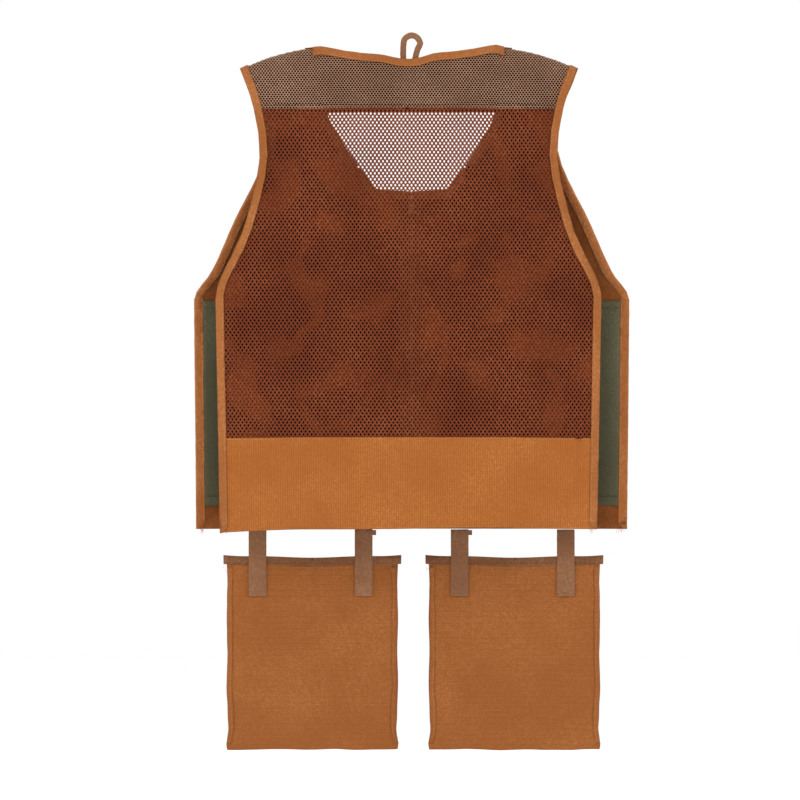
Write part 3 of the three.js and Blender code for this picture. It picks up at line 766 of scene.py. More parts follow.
@dataclass(frozen=True)
class Hard:
    """A metal or moulded finish."""

    name: str
    base: Rgb
    worn: Rgb
    metallic: float = 0.0
    roughness: float = 0.4
    scratch: float = 160.0

    def make(self, groups: "Groups") -> bpy.types.Material:
        """Build the material.

        Args:
            groups: The shared effects.

        Returns:
            The material.
        """
        material, graph, place = new_material(self.name)
        wear = graph.group(groups.wear, {"Vector": place, "Dye": rgba(self.base),
                                         "Shade": rgba(self.worn),
                                         "Rubbed": rgba(self.worn), "Patch Scale": self.scratch,
                                         "Shade Share": 0.5, "Rub Share": 0.5})
        rough = graph.span(wear.outputs["Rub"], 0.0, 0.5, self.roughness, self.roughness + 0.2)
        grain = graph.add("ShaderNodeTexNoise", {"Vector": place, "Scale": 900.0, "Detail": 2.0})
        bump = graph.add("ShaderNodeBump", {"Strength": 0.3, "Distance": 0.0001,
                                            "Height": grain.outputs["Fac"]})
        shader = graph.add("ShaderNodeBsdfPrincipled", {"Base Color": wear.outputs["Color"],
                           "Roughness": rough, "Metallic": self.metallic,
                           "Normal": bump.outputs["Normal"]})
        graph.add("ShaderNodeOutputMaterial", {"Surface": shader.outputs[0]})
        return material


@dataclass
class Groups:
    """The shared shader effects."""

    weave: bpy.types.NodeTree = field(default_factory=weave_group)
    wear: bpy.types.NodeTree = field(default_factory=wear_group)


class Finish(Enum):
    """The finishes of the vest."""

    CANVAS = Cloth("duck_canvas", srgb(178, 106, 52), srgb(154, 86, 38), srgb(206, 142, 88),
                   300, 250, shade_share=0.35)
    POUCH = Cloth("pouch_canvas", srgb(166, 100, 50), srgb(134, 74, 32), srgb(196, 134, 82),
                  230, 190, 1.2, 0.4,
                  patch=11, shade_share=0.25, ribs=148.0, rib_axis="Z", rib_share=0.3)
    # Dark inside of the canvas: painted shade inside the vest, with painted light patches.
    INNER = Cloth("inner_canvas", srgb(46, 12, 4), srgb(28, 5, 1), srgb(70, 28, 12),
                  300, 250, presses=srgb(158, 78, 30))
    # The inside of the canvas as it looks lit, beside the back's edge.
    MARGIN = Cloth("inner_margin", srgb(142, 82, 38), srgb(108, 56, 22), srgb(170, 108, 62),
                   300, 250, patch=24)
    RIB = Cloth("ribbed_band", srgb(184, 110, 50), srgb(150, 82, 32), srgb(214, 144, 84),
                360, 140, 0.8, 0.35, ribs=101.0, shade_share=0.3)
    YOKE_NET = Cloth("yoke_net", srgb(172, 130, 103), srgb(138, 98, 74), srgb(216, 184, 158),
                     900, 900, 0.5, 0.1, roughness=0.65)
    YOKE_BACKING = Cloth("yoke_backing", srgb(40, 14, 7), srgb(26, 8, 4), srgb(62, 30, 18),
                         500, 500)
    RUST_NET = Cloth("rust_net", srgb(118, 53, 24), srgb(92, 37, 15), srgb(164, 96, 60),
                     900, 900, 0.5, 0.1, roughness=0.65)
    BINDING = Cloth("binding_tape", srgb(172, 104, 54), srgb(146, 82, 38), srgb(204, 142, 92),
                    500, 420, 0.5, 0.3)
    WEBBING = Cloth("strap_webbing", srgb(152, 107, 76), srgb(126, 84, 56), srgb(182, 140, 108),
                    160, 420, 0.3, 0.4)
    POUCH_TAPE = Cloth("pouch_tape", srgb(142, 94, 62), srgb(110, 68, 42), srgb(180, 134, 98),
                       300, 420, 0.4, 0.35)
    LINING = Cloth("olive_lining", srgb(98, 94, 70), srgb(76, 74, 54), srgb(124, 122, 98),
                   600, 600, 0.3, 0.12, roughness=0.55, patch=6, shade_share=0.7)
    ZIP_TAPE = Cloth("zip_tape", srgb(98, 56, 28), srgb(74, 40, 18), srgb(132, 84, 50), 300, 600)
    HOOK = Cloth("hook_and_loop", srgb(66, 42, 26), srgb(44, 26, 14), srgb(102, 72, 50),
                 700, 700, 3.0, 0.6)
    THREAD = Cloth("sewing_thread", srgb(206, 146, 92), srgb(178, 116, 64), srgb(228, 178, 128),
                   900, 900, 0.4, 0.08, roughness=0.6)
    TAN_THREAD = Cloth("tan_thread", srgb(168, 122, 86), srgb(120, 80, 54), srgb(196, 154, 118),
                       900, 900, 0.4, 0.08)
    TEETH = Hard("zip_teeth", srgb(112, 72, 44), srgb(142, 100, 68), 0.0, 0.38)
    BRASS = Hard("worn_brass", srgb(170, 132, 78), srgb(120, 88, 50), 1.0, 0.34)


class Wardrobe:
    """Every finish as a material, made when first asked for."""

    def __init__(self) -> None:
        """Start with the shared effects and no materials."""
        self.groups = Groups()
        self.made: dict[Finish, bpy.types.Material] = {}

    def get(self, finish: Finish) -> bpy.types.Material:
        """Material of a finish."""
        if finish not in self.made:
            self.made[finish] = finish.value.make(self.groups)
        return self.made[finish]

    def dress(self, piece: bpy.types.Object, finish: Finish) -> None:
        """Give a piece one finish all over."""
        piece.data.materials.clear()
        piece.data.materials.append(self.get(finish))
        piece.data.polygons.foreach_set("material_index", [0] * len(piece.data.polygons))


def modifier_tree(name: str, sockets: Sequence[tuple[str, str, object]]) -> Graph:
    """A Geometry Nodes tree with named inputs.

    Args:
        name: Name of the tree.
        sockets: Name, type and default of each input after the geometry.

    Returns:
        The tree under construction, with its input node as the first node.
    """
    tree = bpy.data.node_groups.new(name, "GeometryNodeTree")
    graph = Graph(tree)
    graph.socket("Geometry", "Geometry", output=True)
    graph.socket("Geometry", "Geometry")
    for label, kind, value in sockets:
        graph.socket(label, kind, value=value)
    graph.add("NodeGroupInput")
    return graph


def net_tree() -> bpy.types.NodeTree:
    """Net cloth: a staggered lattice of six-sided holes laid over a carrier surface by its UVs.

    Returns:
        The tree.
    """
    graph = modifier_tree("net_cloth", [
        ("Pitch Across", "Float", 0.0057),
        ("Pitch Up", "Float", 0.0042), ("Cells Across", "Int", 10),
        ("Cells Up", "Int", 10), ("First Cell", "Vector", (0, 0, 0)),
        ("Hole Across", "Float", 0.5), ("Hole Up", "Float", 0.7), ("Thickness", "Float", 0.0008),
        ("Unevenness", "Float", 0.0004), ("Seed", "Float", 3.0),
        ("Material", "Material", None)])
    given = graph.tree.nodes[0].outputs
    across, up = given["Pitch Across"], given["Pitch Up"]
    wide = graph.math("MULTIPLY", across, graph.math("SUBTRACT", given["Cells Across"], 1.0))
    high = graph.math("MULTIPLY", up, graph.math("SUBTRACT", given["Cells Up"], 1.0))
    lattice = graph.add("GeometryNodeMeshGrid", {"Size X": wide, "Size Y": high,
                        "Vertices X": given["Cells Across"], "Vertices Y": given["Cells Up"]})
    place = graph.place()
    parts = graph.add("ShaderNodeSeparateXYZ", {0: place})
    row = graph.math("ROUND", graph.math("DIVIDE",
                                         graph.math("MULTIPLY_ADD", high, 0.5, parts.outputs[1]),
                                         up))
    odd = graph.math("MULTIPLY", graph.math("FLOORED_MODULO", row, 2.0),
                     graph.math("MULTIPLY", across, 0.5))
    middle = graph.add("ShaderNodeCombineXYZ", {0: graph.math("MULTIPLY_ADD", wide, 0.5, odd),
                       1: graph.math("MULTIPLY", high, 0.5)}).outputs[0]
    moved = graph.add("GeometryNodeSetPosition", {"Geometry": lattice.outputs[0],
                      "Offset": graph.vector("ADD", middle, given["First Cell"])})
    carrier = given["Geometry"]
    keep = sample_uv(graph, carrier, "FLOAT", named(graph, "keep", "FLOAT"))
    kept = graph.math("MULTIPLY", keep.outputs[0], keep.outputs[1])
    drop = graph.add("FunctionNodeCompare", {0: kept, 1: 0.5}, data_type="FLOAT",
                     operation="LESS_THAN")
    centres = graph.add("GeometryNodeDeleteGeometry", {"Geometry": moved.outputs[0],
                        "Selection": drop.outputs[0]}, domain="POINT")
    cell = cell_ring(graph, across, up, given["Hole Across"], given["Hole Up"])
    laid = graph.add("GeometryNodeInstanceOnPoints",
                     {"Points": centres.outputs[0], "Instance": cell})
    real = graph.add("GeometryNodeRealizeInstances", {0: laid.outputs[0]})
    merged = graph.add("GeometryNodeMergeByDistance",
                       {"Geometry": real.outputs[0], "Distance": 0.0001})
    on_cloth = sample_uv(graph, carrier, "FLOAT", named(graph, "keep", "FLOAT")).outputs[1]
    beyond = graph.add("FunctionNodeBooleanMath", {0: on_cloth}, operation="NOT")
    sewn = graph.add("GeometryNodeDeleteGeometry", {"Geometry": merged.outputs[0],
                     "Selection": beyond.outputs[0]}, domain="POINT")
    risen = graph.add("GeometryNodeExtrudeMesh",
                      {"Mesh": sewn.outputs[0], "Offset Scale": given["Thickness"],
                      "Individual": False}, mode="FACES")
    under = graph.add("GeometryNodeFlipFaces", {"Mesh": sewn.outputs[0]})
    both = graph.add("GeometryNodeJoinGeometry")
    graph.tree.links.new(risen.outputs[0], both.inputs[0])
    graph.tree.links.new(under.outputs[0], both.inputs[0])
    closed = graph.add("GeometryNodeMergeByDistance",
                       {"Geometry": both.outputs[0], "Distance": 0.00001})
    point = sample_uv(graph, carrier, "FLOAT_VECTOR", graph.place()).outputs[0]
    away = sample_uv(graph, carrier, "FLOAT_VECTOR",
                     graph.add("GeometryNodeInputNormal").outputs[0]).outputs[0]
    level = graph.math("MULTIPLY_ADD", given["Thickness"], -0.5, parts_of(graph).outputs[2])
    noise = graph.add("ShaderNodeTexNoise", {"Vector": graph.place(),
                      "W": given["Seed"], "Scale": 55.0, "Detail": 1.0}, noise_dimensions="4D")
    jitter = graph.vector("SCALE", graph.vector("SUBTRACT", noise.outputs["Color"],
                                                (0.5, 0.5, 0.5)),
                          scale=given["Unevenness"])
    final = graph.vector("ADD", graph.vector("ADD", point,
                                             graph.vector("SCALE", away, scale=level)), jitter)
    mapped = graph.add("GeometryNodeSetPosition",
                       {"Geometry": closed.outputs[0], "Position": final})
    real_again = graph.add("GeometryNodeRealizeInstances", {0: mapped.outputs[0]})
    done = graph.add("GeometryNodeSetMaterial",
                     {"Geometry": real_again.outputs[0], "Material": given["Material"]})
    graph.add("NodeGroupOutput", {0: done.outputs[0]})
    return graph.tree


def parts_of(graph: Graph) -> bpy.types.Node:
    """The three parts of the position."""
    return graph.add("ShaderNodeSeparateXYZ", {0: graph.place()})


def named(graph: Graph, name: str, kind: str) -> bpy.types.NodeSocket:
    """A named attribute's value."""
    return graph.add("GeometryNodeInputNamedAttribute", {"Name": name}, data_type=kind).outputs[0]


def sample_uv(graph: Graph, carrier: bpy.types.NodeSocket, kind: str,
              value: bpy.types.NodeSocket) -> bpy.types.Node:
    """Read a value from the carrier at the flat place that a point has.

    Args:
        graph: Tree it goes in.
        carrier: The carrier's geometry.
        kind: Data type of the value.
        value: Field to read on the carrier.

    Returns:
        The node: its outputs are the value and whether the place is on the carrier.
    """
    node = graph.add("GeometryNodeSampleUVSurface", data_type=kind)
    flat = named(graph, "cloth", "FLOAT_VECTOR")
    where = graph.place()
    for socket, source in zip(node.inputs, (carrier, value, flat, where)):
        graph.tree.links.new(source, socket)
    return node


def cell_ring(graph: Graph, across: object, up: object, wide: object,
              high: object) -> bpy.types.NodeSocket:
    """One six-sided cell of net with its hole, which fits its neighbours edge to edge.

    Args:
        graph: Tree it goes in.
        across: Pitch across.
        up: Pitch up.
        wide: Width of the hole as a share of the cell's.
        high: Height of the hole as a share of the cell's.

    Returns:
        The cell's geometry.
    """
    circle = graph.add("GeometryNodeMeshCircle", {"Vertices": 6, "Radius": 1.0}, fill_type="NGON")
    turned = graph.add("GeometryNodeTransform",
                       {"Geometry": circle.outputs[0], "Rotation": (0, 0, math.pi / 6)})
    size = graph.add("ShaderNodeCombineXYZ", {0: graph.math("MULTIPLY", across, 1 / math.sqrt(3)),
                     1: graph.math("MULTIPLY", up, 2 / 3), 2: 1.0})
    sized = graph.add("GeometryNodeTransform",
                      {"Geometry": turned.outputs[0], "Scale": size.outputs[0]})
    inset = graph.add("GeometryNodeExtrudeMesh", {"Mesh": sized.outputs[0], "Offset Scale": 0.0,
                      "Individual": True}, mode="FACES")
    narrow = graph.add("GeometryNodeScaleElements", {"Geometry": inset.outputs["Mesh"],
                       "Selection": inset.outputs["Top"], "Scale": wide, "Axis": (1, 0, 0)},
                       domain="FACE", scale_mode="SINGLE_AXIS")
    smaller = graph.add("GeometryNodeScaleElements", {"Geometry": narrow.outputs[0],
                        "Selection": inset.outputs["Top"], "Scale": high, "Axis": (0, 1, 0)},
                        domain="FACE", scale_mode="SINGLE_AXIS")
    ring = graph.add("GeometryNodeDeleteGeometry", {"Geometry": smaller.outputs[0],
                     "Selection": inset.outputs["Top"]}, domain="FACE")
    return ring.outputs[0]


def stitch_tree() -> bpy.types.NodeTree:
    """A row of stitches along a path.

    Returns:
        The tree.
    """
    graph = modifier_tree("stitch_row", [
        ("Spacing", "Float", 0.0034), ("Length", "Float", 0.0024),
        ("Thread", "Float", 0.0005), ("Seed", "Int", 5),
        ("Material", "Material", None)])
    given = graph.tree.nodes[0].outputs
    path = graph.add("GeometryNodeMeshToCurve", {0: given["Geometry"]})
    spread = graph.add("GeometryNodeResampleCurve",
                       {"Curve": path.outputs[0], "Length": given["Spacing"]},
                       mode="LENGTH")
    ball = graph.add("GeometryNodeMeshIcoSphere", {"Radius": 0.5, "Subdivisions": 1})
    size = graph.add("ShaderNodeCombineXYZ", {0: given["Length"], 1: given["Thread"],
                                              2: given["Thread"]})
    stitch = graph.add("GeometryNodeTransform",
                       {"Geometry": ball.outputs[0], "Scale": size.outputs[0]})
    tangent = graph.add("GeometryNodeInputTangent").outputs[0]
    loose = graph.add("FunctionNodeRandomValue", {"Seed": given["Seed"]}, data_type="FLOAT_VECTOR")
    loose.inputs[0].default_value = (-0.12, -0.12, -0.12)
    loose.inputs[1].default_value = (0.12, 0.12, 0.12)
    turn = graph.add("FunctionNodeAlignRotationToVector", {"Vector": graph.vector("ADD", tangent,
                     loose.outputs[0])}, axis="X")
    laid = graph.add("GeometryNodeInstanceOnPoints", {"Points": spread.outputs[0],
                     "Instance": stitch.outputs[0], "Rotation": turn.outputs[0]})
    real = graph.add("GeometryNodeRealizeInstances", {0: laid.outputs[0]})
    done = graph.add("GeometryNodeSetMaterial",
                     {"Geometry": real.outputs[0], "Material": given["Material"]})
    graph.add("NodeGroupOutput", {0: done.outputs[0]})
    return graph.tree


def teeth_tree() -> bpy.types.NodeTree:
    """A row of zipper teeth up one tape.

    Returns:
        The tree.
    """
    graph = modifier_tree("zip_teeth", [
        ("Start", "Vector", (0, 0, 0)), ("Pitch", "Float", 0.0022),
        ("Count", "Int", 10), ("Tooth", "Vector", (0.002, 0.002, 0.0013)),
        ("Material", "Material", None)])
    given = graph.tree.nodes[0].outputs
    step = graph.add("ShaderNodeCombineXYZ", {2: given["Pitch"]})
    line = graph.add("GeometryNodeMeshLine", {"Count": given["Count"],
                                              "Start Location": given["Start"],
                     "Offset": step.outputs[0]}, mode="OFFSET")
    tooth = graph.add("GeometryNodeMeshIcoSphere", {"Radius": 0.62, "Subdivisions": 2})
    boxed = graph.add("GeometryNodeSetPosition",
                      {"Geometry": tooth.outputs[0], "Position": graph.vector(
        "MINIMUM", graph.vector("MAXIMUM", graph.place(),
                                (-0.5, -0.5, -0.5)), (0.5, 0.5, 0.5))})
    sized = graph.add("GeometryNodeTransform",
                      {"Geometry": boxed.outputs[0], "Scale": given["Tooth"]})
    laid = graph.add("GeometryNodeInstanceOnPoints",
                     {"Points": line.outputs[0], "Instance": sized.outputs[0]})
    real = graph.add("GeometryNodeRealizeInstances", {0: laid.outputs[0]})
    done = graph.add("GeometryNodeSetMaterial",
                     {"Geometry": real.outputs[0], "Material": given["Material"]})
    graph.add("NodeGroupOutput", {0: done.outputs[0]})
    return graph.tree


class Workshop:
    """Runs the Geometry Nodes trees and turns their results into plain pieces."""

    def __init__(self, wardrobe: Wardrobe) -> None:
        """Build the trees once."""
        self.wardrobe = wardrobe
        self.net, self.stitch, self.teeth = net_tree(), stitch_tree(), teeth_tree()

    def run(self, name: str, carrier: bpy.types.Object, tree: bpy.types.NodeTree, finish: Finish,
            values: dict[str, object]) -> bpy.types.Object:
        """Evaluate a tree on an object and keep the result as a plain mesh.

        Args:
            name: Name of the piece.
            carrier: Object the modifier sits on.
            tree: The tree.
            finish: Finish of the result.
            values: Value of each named input.

        Returns:
            The piece.
        """
        modifier = carrier.modifiers.new(name, "NODES")
        modifier.node_group = tree
        values = {**values, "Material": self.wardrobe.get(finish)}
        for item in tree.interface.items_tree:
            if getattr(item, "in_out", "") == "INPUT" and item.name in values:
                modifier[item.identifier] = values[item.name]
        depsgraph = bpy.context.evaluated_depsgraph_get()
        mesh = bpy.data.meshes.new_from_object(carrier.evaluated_get(depsgraph))
        carrier.modifiers.remove(modifier)
        mesh.name = name
        if not mesh.materials:
            mesh.materials.append(self.wardrobe.get(finish))
        return placed(name, mesh)

    def stitches(self, name: str, paths: Sequence[Array], finish: Finish = Finish.THREAD,
                 spacing: float = 3.4,
                 length: float = 2.5, thread: float = 0.55) -> bpy.types.Object:
        """Rows of stitches along paths.

        Args:
            name: Name of the piece.
            paths: Places along each row, in millimetres.
            finish: Finish of the thread.
            spacing: Distance from stitch to stitch.
            length: Length of a stitch.
            thread: Thickness of the thread.

        Returns:
            The piece.
        """
        mesh = bpy.data.meshes.new(f"{name}_path")
        places, edges, start = [], [], 0
        for path in paths:
            places += (np.asarray(path) * MM).tolist()
            edges += [(start + i, start + i + 1) for i in range(len(path) - 1)]
            start += len(path)
        mesh.from_pydata(places, edges, [])
        carrier = placed(f"{name}_path", mesh)
        piece = self.run(name, carrier, self.stitch, finish,
                         {"Spacing": spacing * MM, "Length": length * MM,
                         "Thread": thread * MM})
        bpy.data.objects.remove(carrier)
        return piece

    def net_piece(self, name: str, places: Array, away: Array, weave: "NetWeave", finish: Finish,
                  split: int = 0) -> bpy.types.Object:
        """Net cloth over a grid of places, up to the last whole cell inside its edges.

        Args:
            name: Name of the piece.
            places: Rows by columns by three, in millimetres.
            away: Unit normals in the same layout.
            weave: Sizes of the net.
            finish: Finish of its strands.
            split: Sign of x of the half to keep, or 0 for all of it.

        Returns:
            The piece.
        """
        rows, columns = places.shape[:2]
        flat = flat_layout(places)
        carrier = mesh_object(f"{name}_carrier", places, grid_faces(rows, columns), flat)
        face_normal = np.array(carrier.data.polygons[len(carrier.data.polygons) // 2].normal)
        if face_normal @ away[rows // 2, columns // 2] < 0:
            carrier.data.flip_normals()
        x, up = (flat[:, i].reshape(rows, columns) / MM for i in (0, 1))
        from_ends = np.minimum(up, up[:1] - up) - weave.up * 0.68
        from_sides = np.minimum(np.abs(x - x[:, :1]), np.abs(x[:, -1:] - x)) - weave.across * 0.6
        reach = np.minimum(from_ends, from_sides)
        if split:
            reach = np.minimum(reach, x * split)
        mark = carrier.data.attributes.new("keep", "FLOAT", "POINT")
        mark.data.foreach_set("value", (reach + 0.5).astype(np.float32).ravel())
        low, high = flat.min(0), flat.max(0)
        across, up = weave.across * MM, weave.up * MM
        start = (math.floor(low[0] / across) - 0.75) * across
        piece = self.run(name, carrier, self.net, finish, {
            "Pitch Across": across, "Pitch Up": up,
            "Cells Across": int((high[0] - low[0]) / across) + 4,
            "Cells Up": int((high[1] - low[1]) / up) + 3,
            "First Cell": (start, round(low[1] / (2 * up)) * 2 * up, 0.0),
            "Hole Across": weave.hole_across, "Hole Up": weave.hole_up,
            "Thickness": weave.thickness * MM, "Unevenness": weave.unevenness * MM})
        bpy.data.objects.remove(carrier)
        return piece


@dataclass(frozen=True)
class NetWeave:
    """Sizes of a net in millimetres."""

    across: float = 5.7
    up: float = 4.2
    hole_across: float = 0.46
    hole_up: float = 0.67
    thickness: float = 0.9
    unevenness: float = 0.5


@dataclass
class Assembly:
    """A sub-assembly: what it shares with the others."""

    garment: Garment
    wardrobe: Wardrobe
    workshop: Workshop

    def fit(self, piece: bpy.types.Object, body: str, finish: Finish, nodes: Sequence[str] = (),
            dress: bool = True) -> bpy.types.Object:
        """Dress a piece, put it on its body and let it stand for its CAD nodes.

        Args:
            piece: The piece.
            body: CAD body that it rides on.
            finish: Its finish.
            nodes: CAD nodes that it replaces.
            dress: False where the piece has its materials already.

        Returns:
            The piece.
        """
        if dress:
            self.wardrobe.dress(piece, finish)
        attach(piece, body)
        if nodes:
            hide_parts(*nodes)
        LOG.info("%s on %s, %d faces", piece.name, body, len(piece.data.polygons))
        return piece

    def seam(self, name: str, paths: Sequence[Array], body: str, finish: Finish = Finish.THREAD,
             spacing: float = 3.4, length: float = 2.6, thread: float = 0.75) -> bpy.types.Object:
        """Stitch rows that ride on a body."""
        row = self.workshop.stitches(name, paths, finish, spacing, length, thread)
        return self.fit(row, body, finish, dress=False)

    def lifted(self, surface: Surface, us: Array, vs: Array, lift: float, face: Face) -> Array:
        """Places along a line on a surface, raised off it.

        Args:
            surface: The surface.
            us: First parameter of each place.
            vs: Second parameter of each place.
            lift: Distance off the surface, outwards if positive.
            face: Side of the garment that the surface is on.

        Returns:
            The places, one row each.
        """
        e = 2e-3
        here = surface(us, vs)
        across = surface(us + e, vs) - surface(us - e, vs)
        down = surface(us, vs + e) - surface(us, np.maximum(vs - e, 0))
        away = np.cross(across, down)
        away /= np.linalg.norm(away, axis=-1, keepdims=True)
        sign = -1 if face is Face.BACK else 1
        away *= np.where(away[:, 1:2] * sign < 0, -1, 1)
        return here + away * lift


def grid(us: Array, vs: Array) -> tuple[Array, Array]:
    """Two parameters laid out as rows of v by columns of u."""
    u, v = np.meshgrid(us, vs)
    return u, v


def soften(amount: float, length: float, seed: float) -> Move:
    """A rule that moves places a little along their normals.

    Args:
        amount: Largest move in millimetres.
        length: Length of a wave.
        seed: Moves the pattern.

    Returns:
        The rule.
    """
    def move(places: Array, away: Array) -> Array:
        """New places."""
        return places + away * (amount * ripple(places, length, seed))[:, None]

    return move


def dense(corners: Sequence[tuple[float, float]], step: float) -> list[tuple[float, float]]:
    """Points along a line through corners, no further apart than a step."""
    points = []
    for (x0, z0), (x1, z1) in zip(corners, corners[1:]):
        count = max(1, int(math.hypot(x1 - x0, z1 - z0) / step))
        points += [(x0 + (x1 - x0) * t / count, z0 + (z1 - z0) * t / count) for t in range(count)]
    return [*points, corners[-1]]


@dataclass
class BackPanels(Assembly):
    """Yoke, net panel and ribbed waistband of the back."""

    billow: float = 3.0
    yoke_thickness: float = 2.4
    band_thickness: float = 2.4
    seam_allowance: float = 7.0
    net_overlap: float = 0.03
    weave: NetWeave = NetWeave()
    yoke_weave: NetWeave = NetWeave(4.2, 3.05, 0.72, 0.82, 0.8, 0.25)

    def build(self) -> None:
        """Make and dress every piece."""
        self.build_net()
        self.build_yoke()
        self.build_waistband()
        self.build_seams()

    def eased(self, s: Array, v: Array, places: Array, away: Array) -> Array:
        """Let a panel billow between its sewn edges."""
        hold = (1 - np.clip(np.abs(s), 0, 1) ** 4) * np.clip(4 * v * (1 - v), 0, 1) ** 0.5
        wave = ripple(places, 210, 1.3) + 0.35 * ripple(places, 70, 4.1)
        return places + away * (self.billow * hold * wave)[..., None]

    def build_net(self) -> None:
        """Net of the back, as two halves that meet on the centre line."""
        g = self.garment
        surface = g.back_panel_at(g.back_yoke, g.waistband)
        for name, low, high in (("back_net_left", -1.0, 0.0), ("back_net_right", 0.0, 1.0)):
            across = np.linspace(min(low, -self.net_overlap), max(high, self.net_overlap), 44)
            s, v = grid(across, np.linspace(-0.006, 1.008, 66))
            places = surface(s, v)
            away = outward(places, Face.BACK)
            places = self.eased(s, v, places, away)
            half = -1 if low < 0 else 1
            piece = self.workshop.net_piece(name, places, away, self.weave, Finish.RUST_NET, half)
            nodes = ("back_mesh_panel",) if low < 0 else ()
            self.fit(piece, "shell", Finish.RUST_NET, nodes, dress=False)

    def risen(self, places: Array, v: Array) -> Array:
        """Lift the top of the yoke with the neck's edge."""
        lifted = places.copy()
        lifted[..., 2] += self.garment.neck_rise(places[..., 0]) * np.clip(1 - v, 0, 1) ** 2
        return lifted

    def build_yoke(self) -> None:
        """Net of the yoke over its dark backing."""
        g = self.garment
        s, v = grid(np.linspace(-1, 1, 121), np.linspace(0, 1.02, 40))
        places = self.risen(g.back_yoke_at(s, v), v)
        away = outward(places, Face.BACK)
        over = places + away * (self.yoke_thickness / 2 - self.yoke_weave.thickness / 2)
        net = self.workshop.net_piece("back_yoke_net", over, away, self.yoke_weave, Finish.YOKE_NET)
        self.fit(net, "shell", Finish.YOKE_NET, ("back_yoke",), dress=False)
        s, v = grid(np.linspace(-1, 1, 61), np.linspace(0, 1, 14))
        places = self.risen(g.back_yoke_at(s, v), v)
        away = outward(places, Face.BACK)
        backing = cloth_sheet("back_yoke_backing", places - away * 0.7, away, 0.8)
        self.fit(backing, "shell", Finish.YOKE_BACKING)
        s, v = grid(np.linspace(-0.93, 0.93, 60), np.linspace(0, 1, 4))
        strip = g.back_panel_at(g.back_yoke, g.back_yoke - self.seam_allowance)(s, v)
        away = outward(strip, Face.BACK)
        strip[..., 2] -= 0.8 * ripple(strip, 90, 2.0) * v
        allowance = cloth_sheet("yoke_seam_allowance", strip - away * 1.5, away, 0.7)
        self.fit(allowance, "shell", Finish.BINDING)
        self.wardrobe.dress(allowance, Finish.YOKE_BACKING)

    def top_fall(self, s: Array) -> Array:
        """How far the waistband's top edge hangs below its line, at each share across."""
        return 2.6 * np.clip(np.abs(s) - 0.5, 0, 1) - 1.0

    def foot_fall(self, s: Array) -> Array:
        """The same for the hem, which dips at the left corner."""
        return (5.0 * np.clip((-s - 0.55) / 0.45, 0, 1) ** 1.5
                    - 2.2 * np.exp(-((s - 0.35) / 0.4) ** 2))

    def build_waistband(self) -> None:
        """Ribbed band along the foot, puckered at its right end and dipping at its left."""
        g = self.garment
        s, v = grid(np.linspace(-0.998, 0.998, 150), np.linspace(0, 1, 36))
        places = g.back_panel_at(g.waistband, g.hem)(s, v)
        away = outward(places, Face.BACK)
        pucker = np.exp(-((s - 0.9 - 0.03 * v) / 0.016) ** 2) * np.clip(1.1 - v, 0, 1)
        wave = 1.1 * ripple(places, 130, 2.7) * (1 - np.abs(s) ** 6) - 3.6 * pucker
        places = places + away * wave[..., None]
        places[..., 2] -= self.foot_fall(s) * v + self.top_fall(s) * (1 - v)
        band = cloth_sheet("waistband_ribs", places, away, self.band_thickness)
        self.fit(band, "shell", Finish.RIB, ("back_waistband",))

    def build_seams(self) -> None:
        """Top stitches of the waistband and of the yoke."""
        g = self.garment
        s = np.linspace(-0.955, 0.955, 120)
        band = g.back_panel_at(g.waistband, g.hem)
        lift = self.band_thickness / 2 + 0.45
        rows = [self.lifted(band, s, np.full_like(s, v), lift, Face.BACK) for v in (0.018, 0.985)]
        rows[0][:, 2] -= self.top_fall(s)
        rows[1][:, 2] -= self.foot_fall(s)
        self.seam("waistband_stitches", rows, "shell", spacing=3.0)
        yoke = self.lifted(g.back_yoke_at, s, np.full_like(s, 0.97), self.yoke_thickness / 2 + 0.15,
                           Face.BACK)
        self.seam("yoke_stitches", [yoke], "shell", Finish.YOKE_BACKING, spacing=2.6, length=2.4)


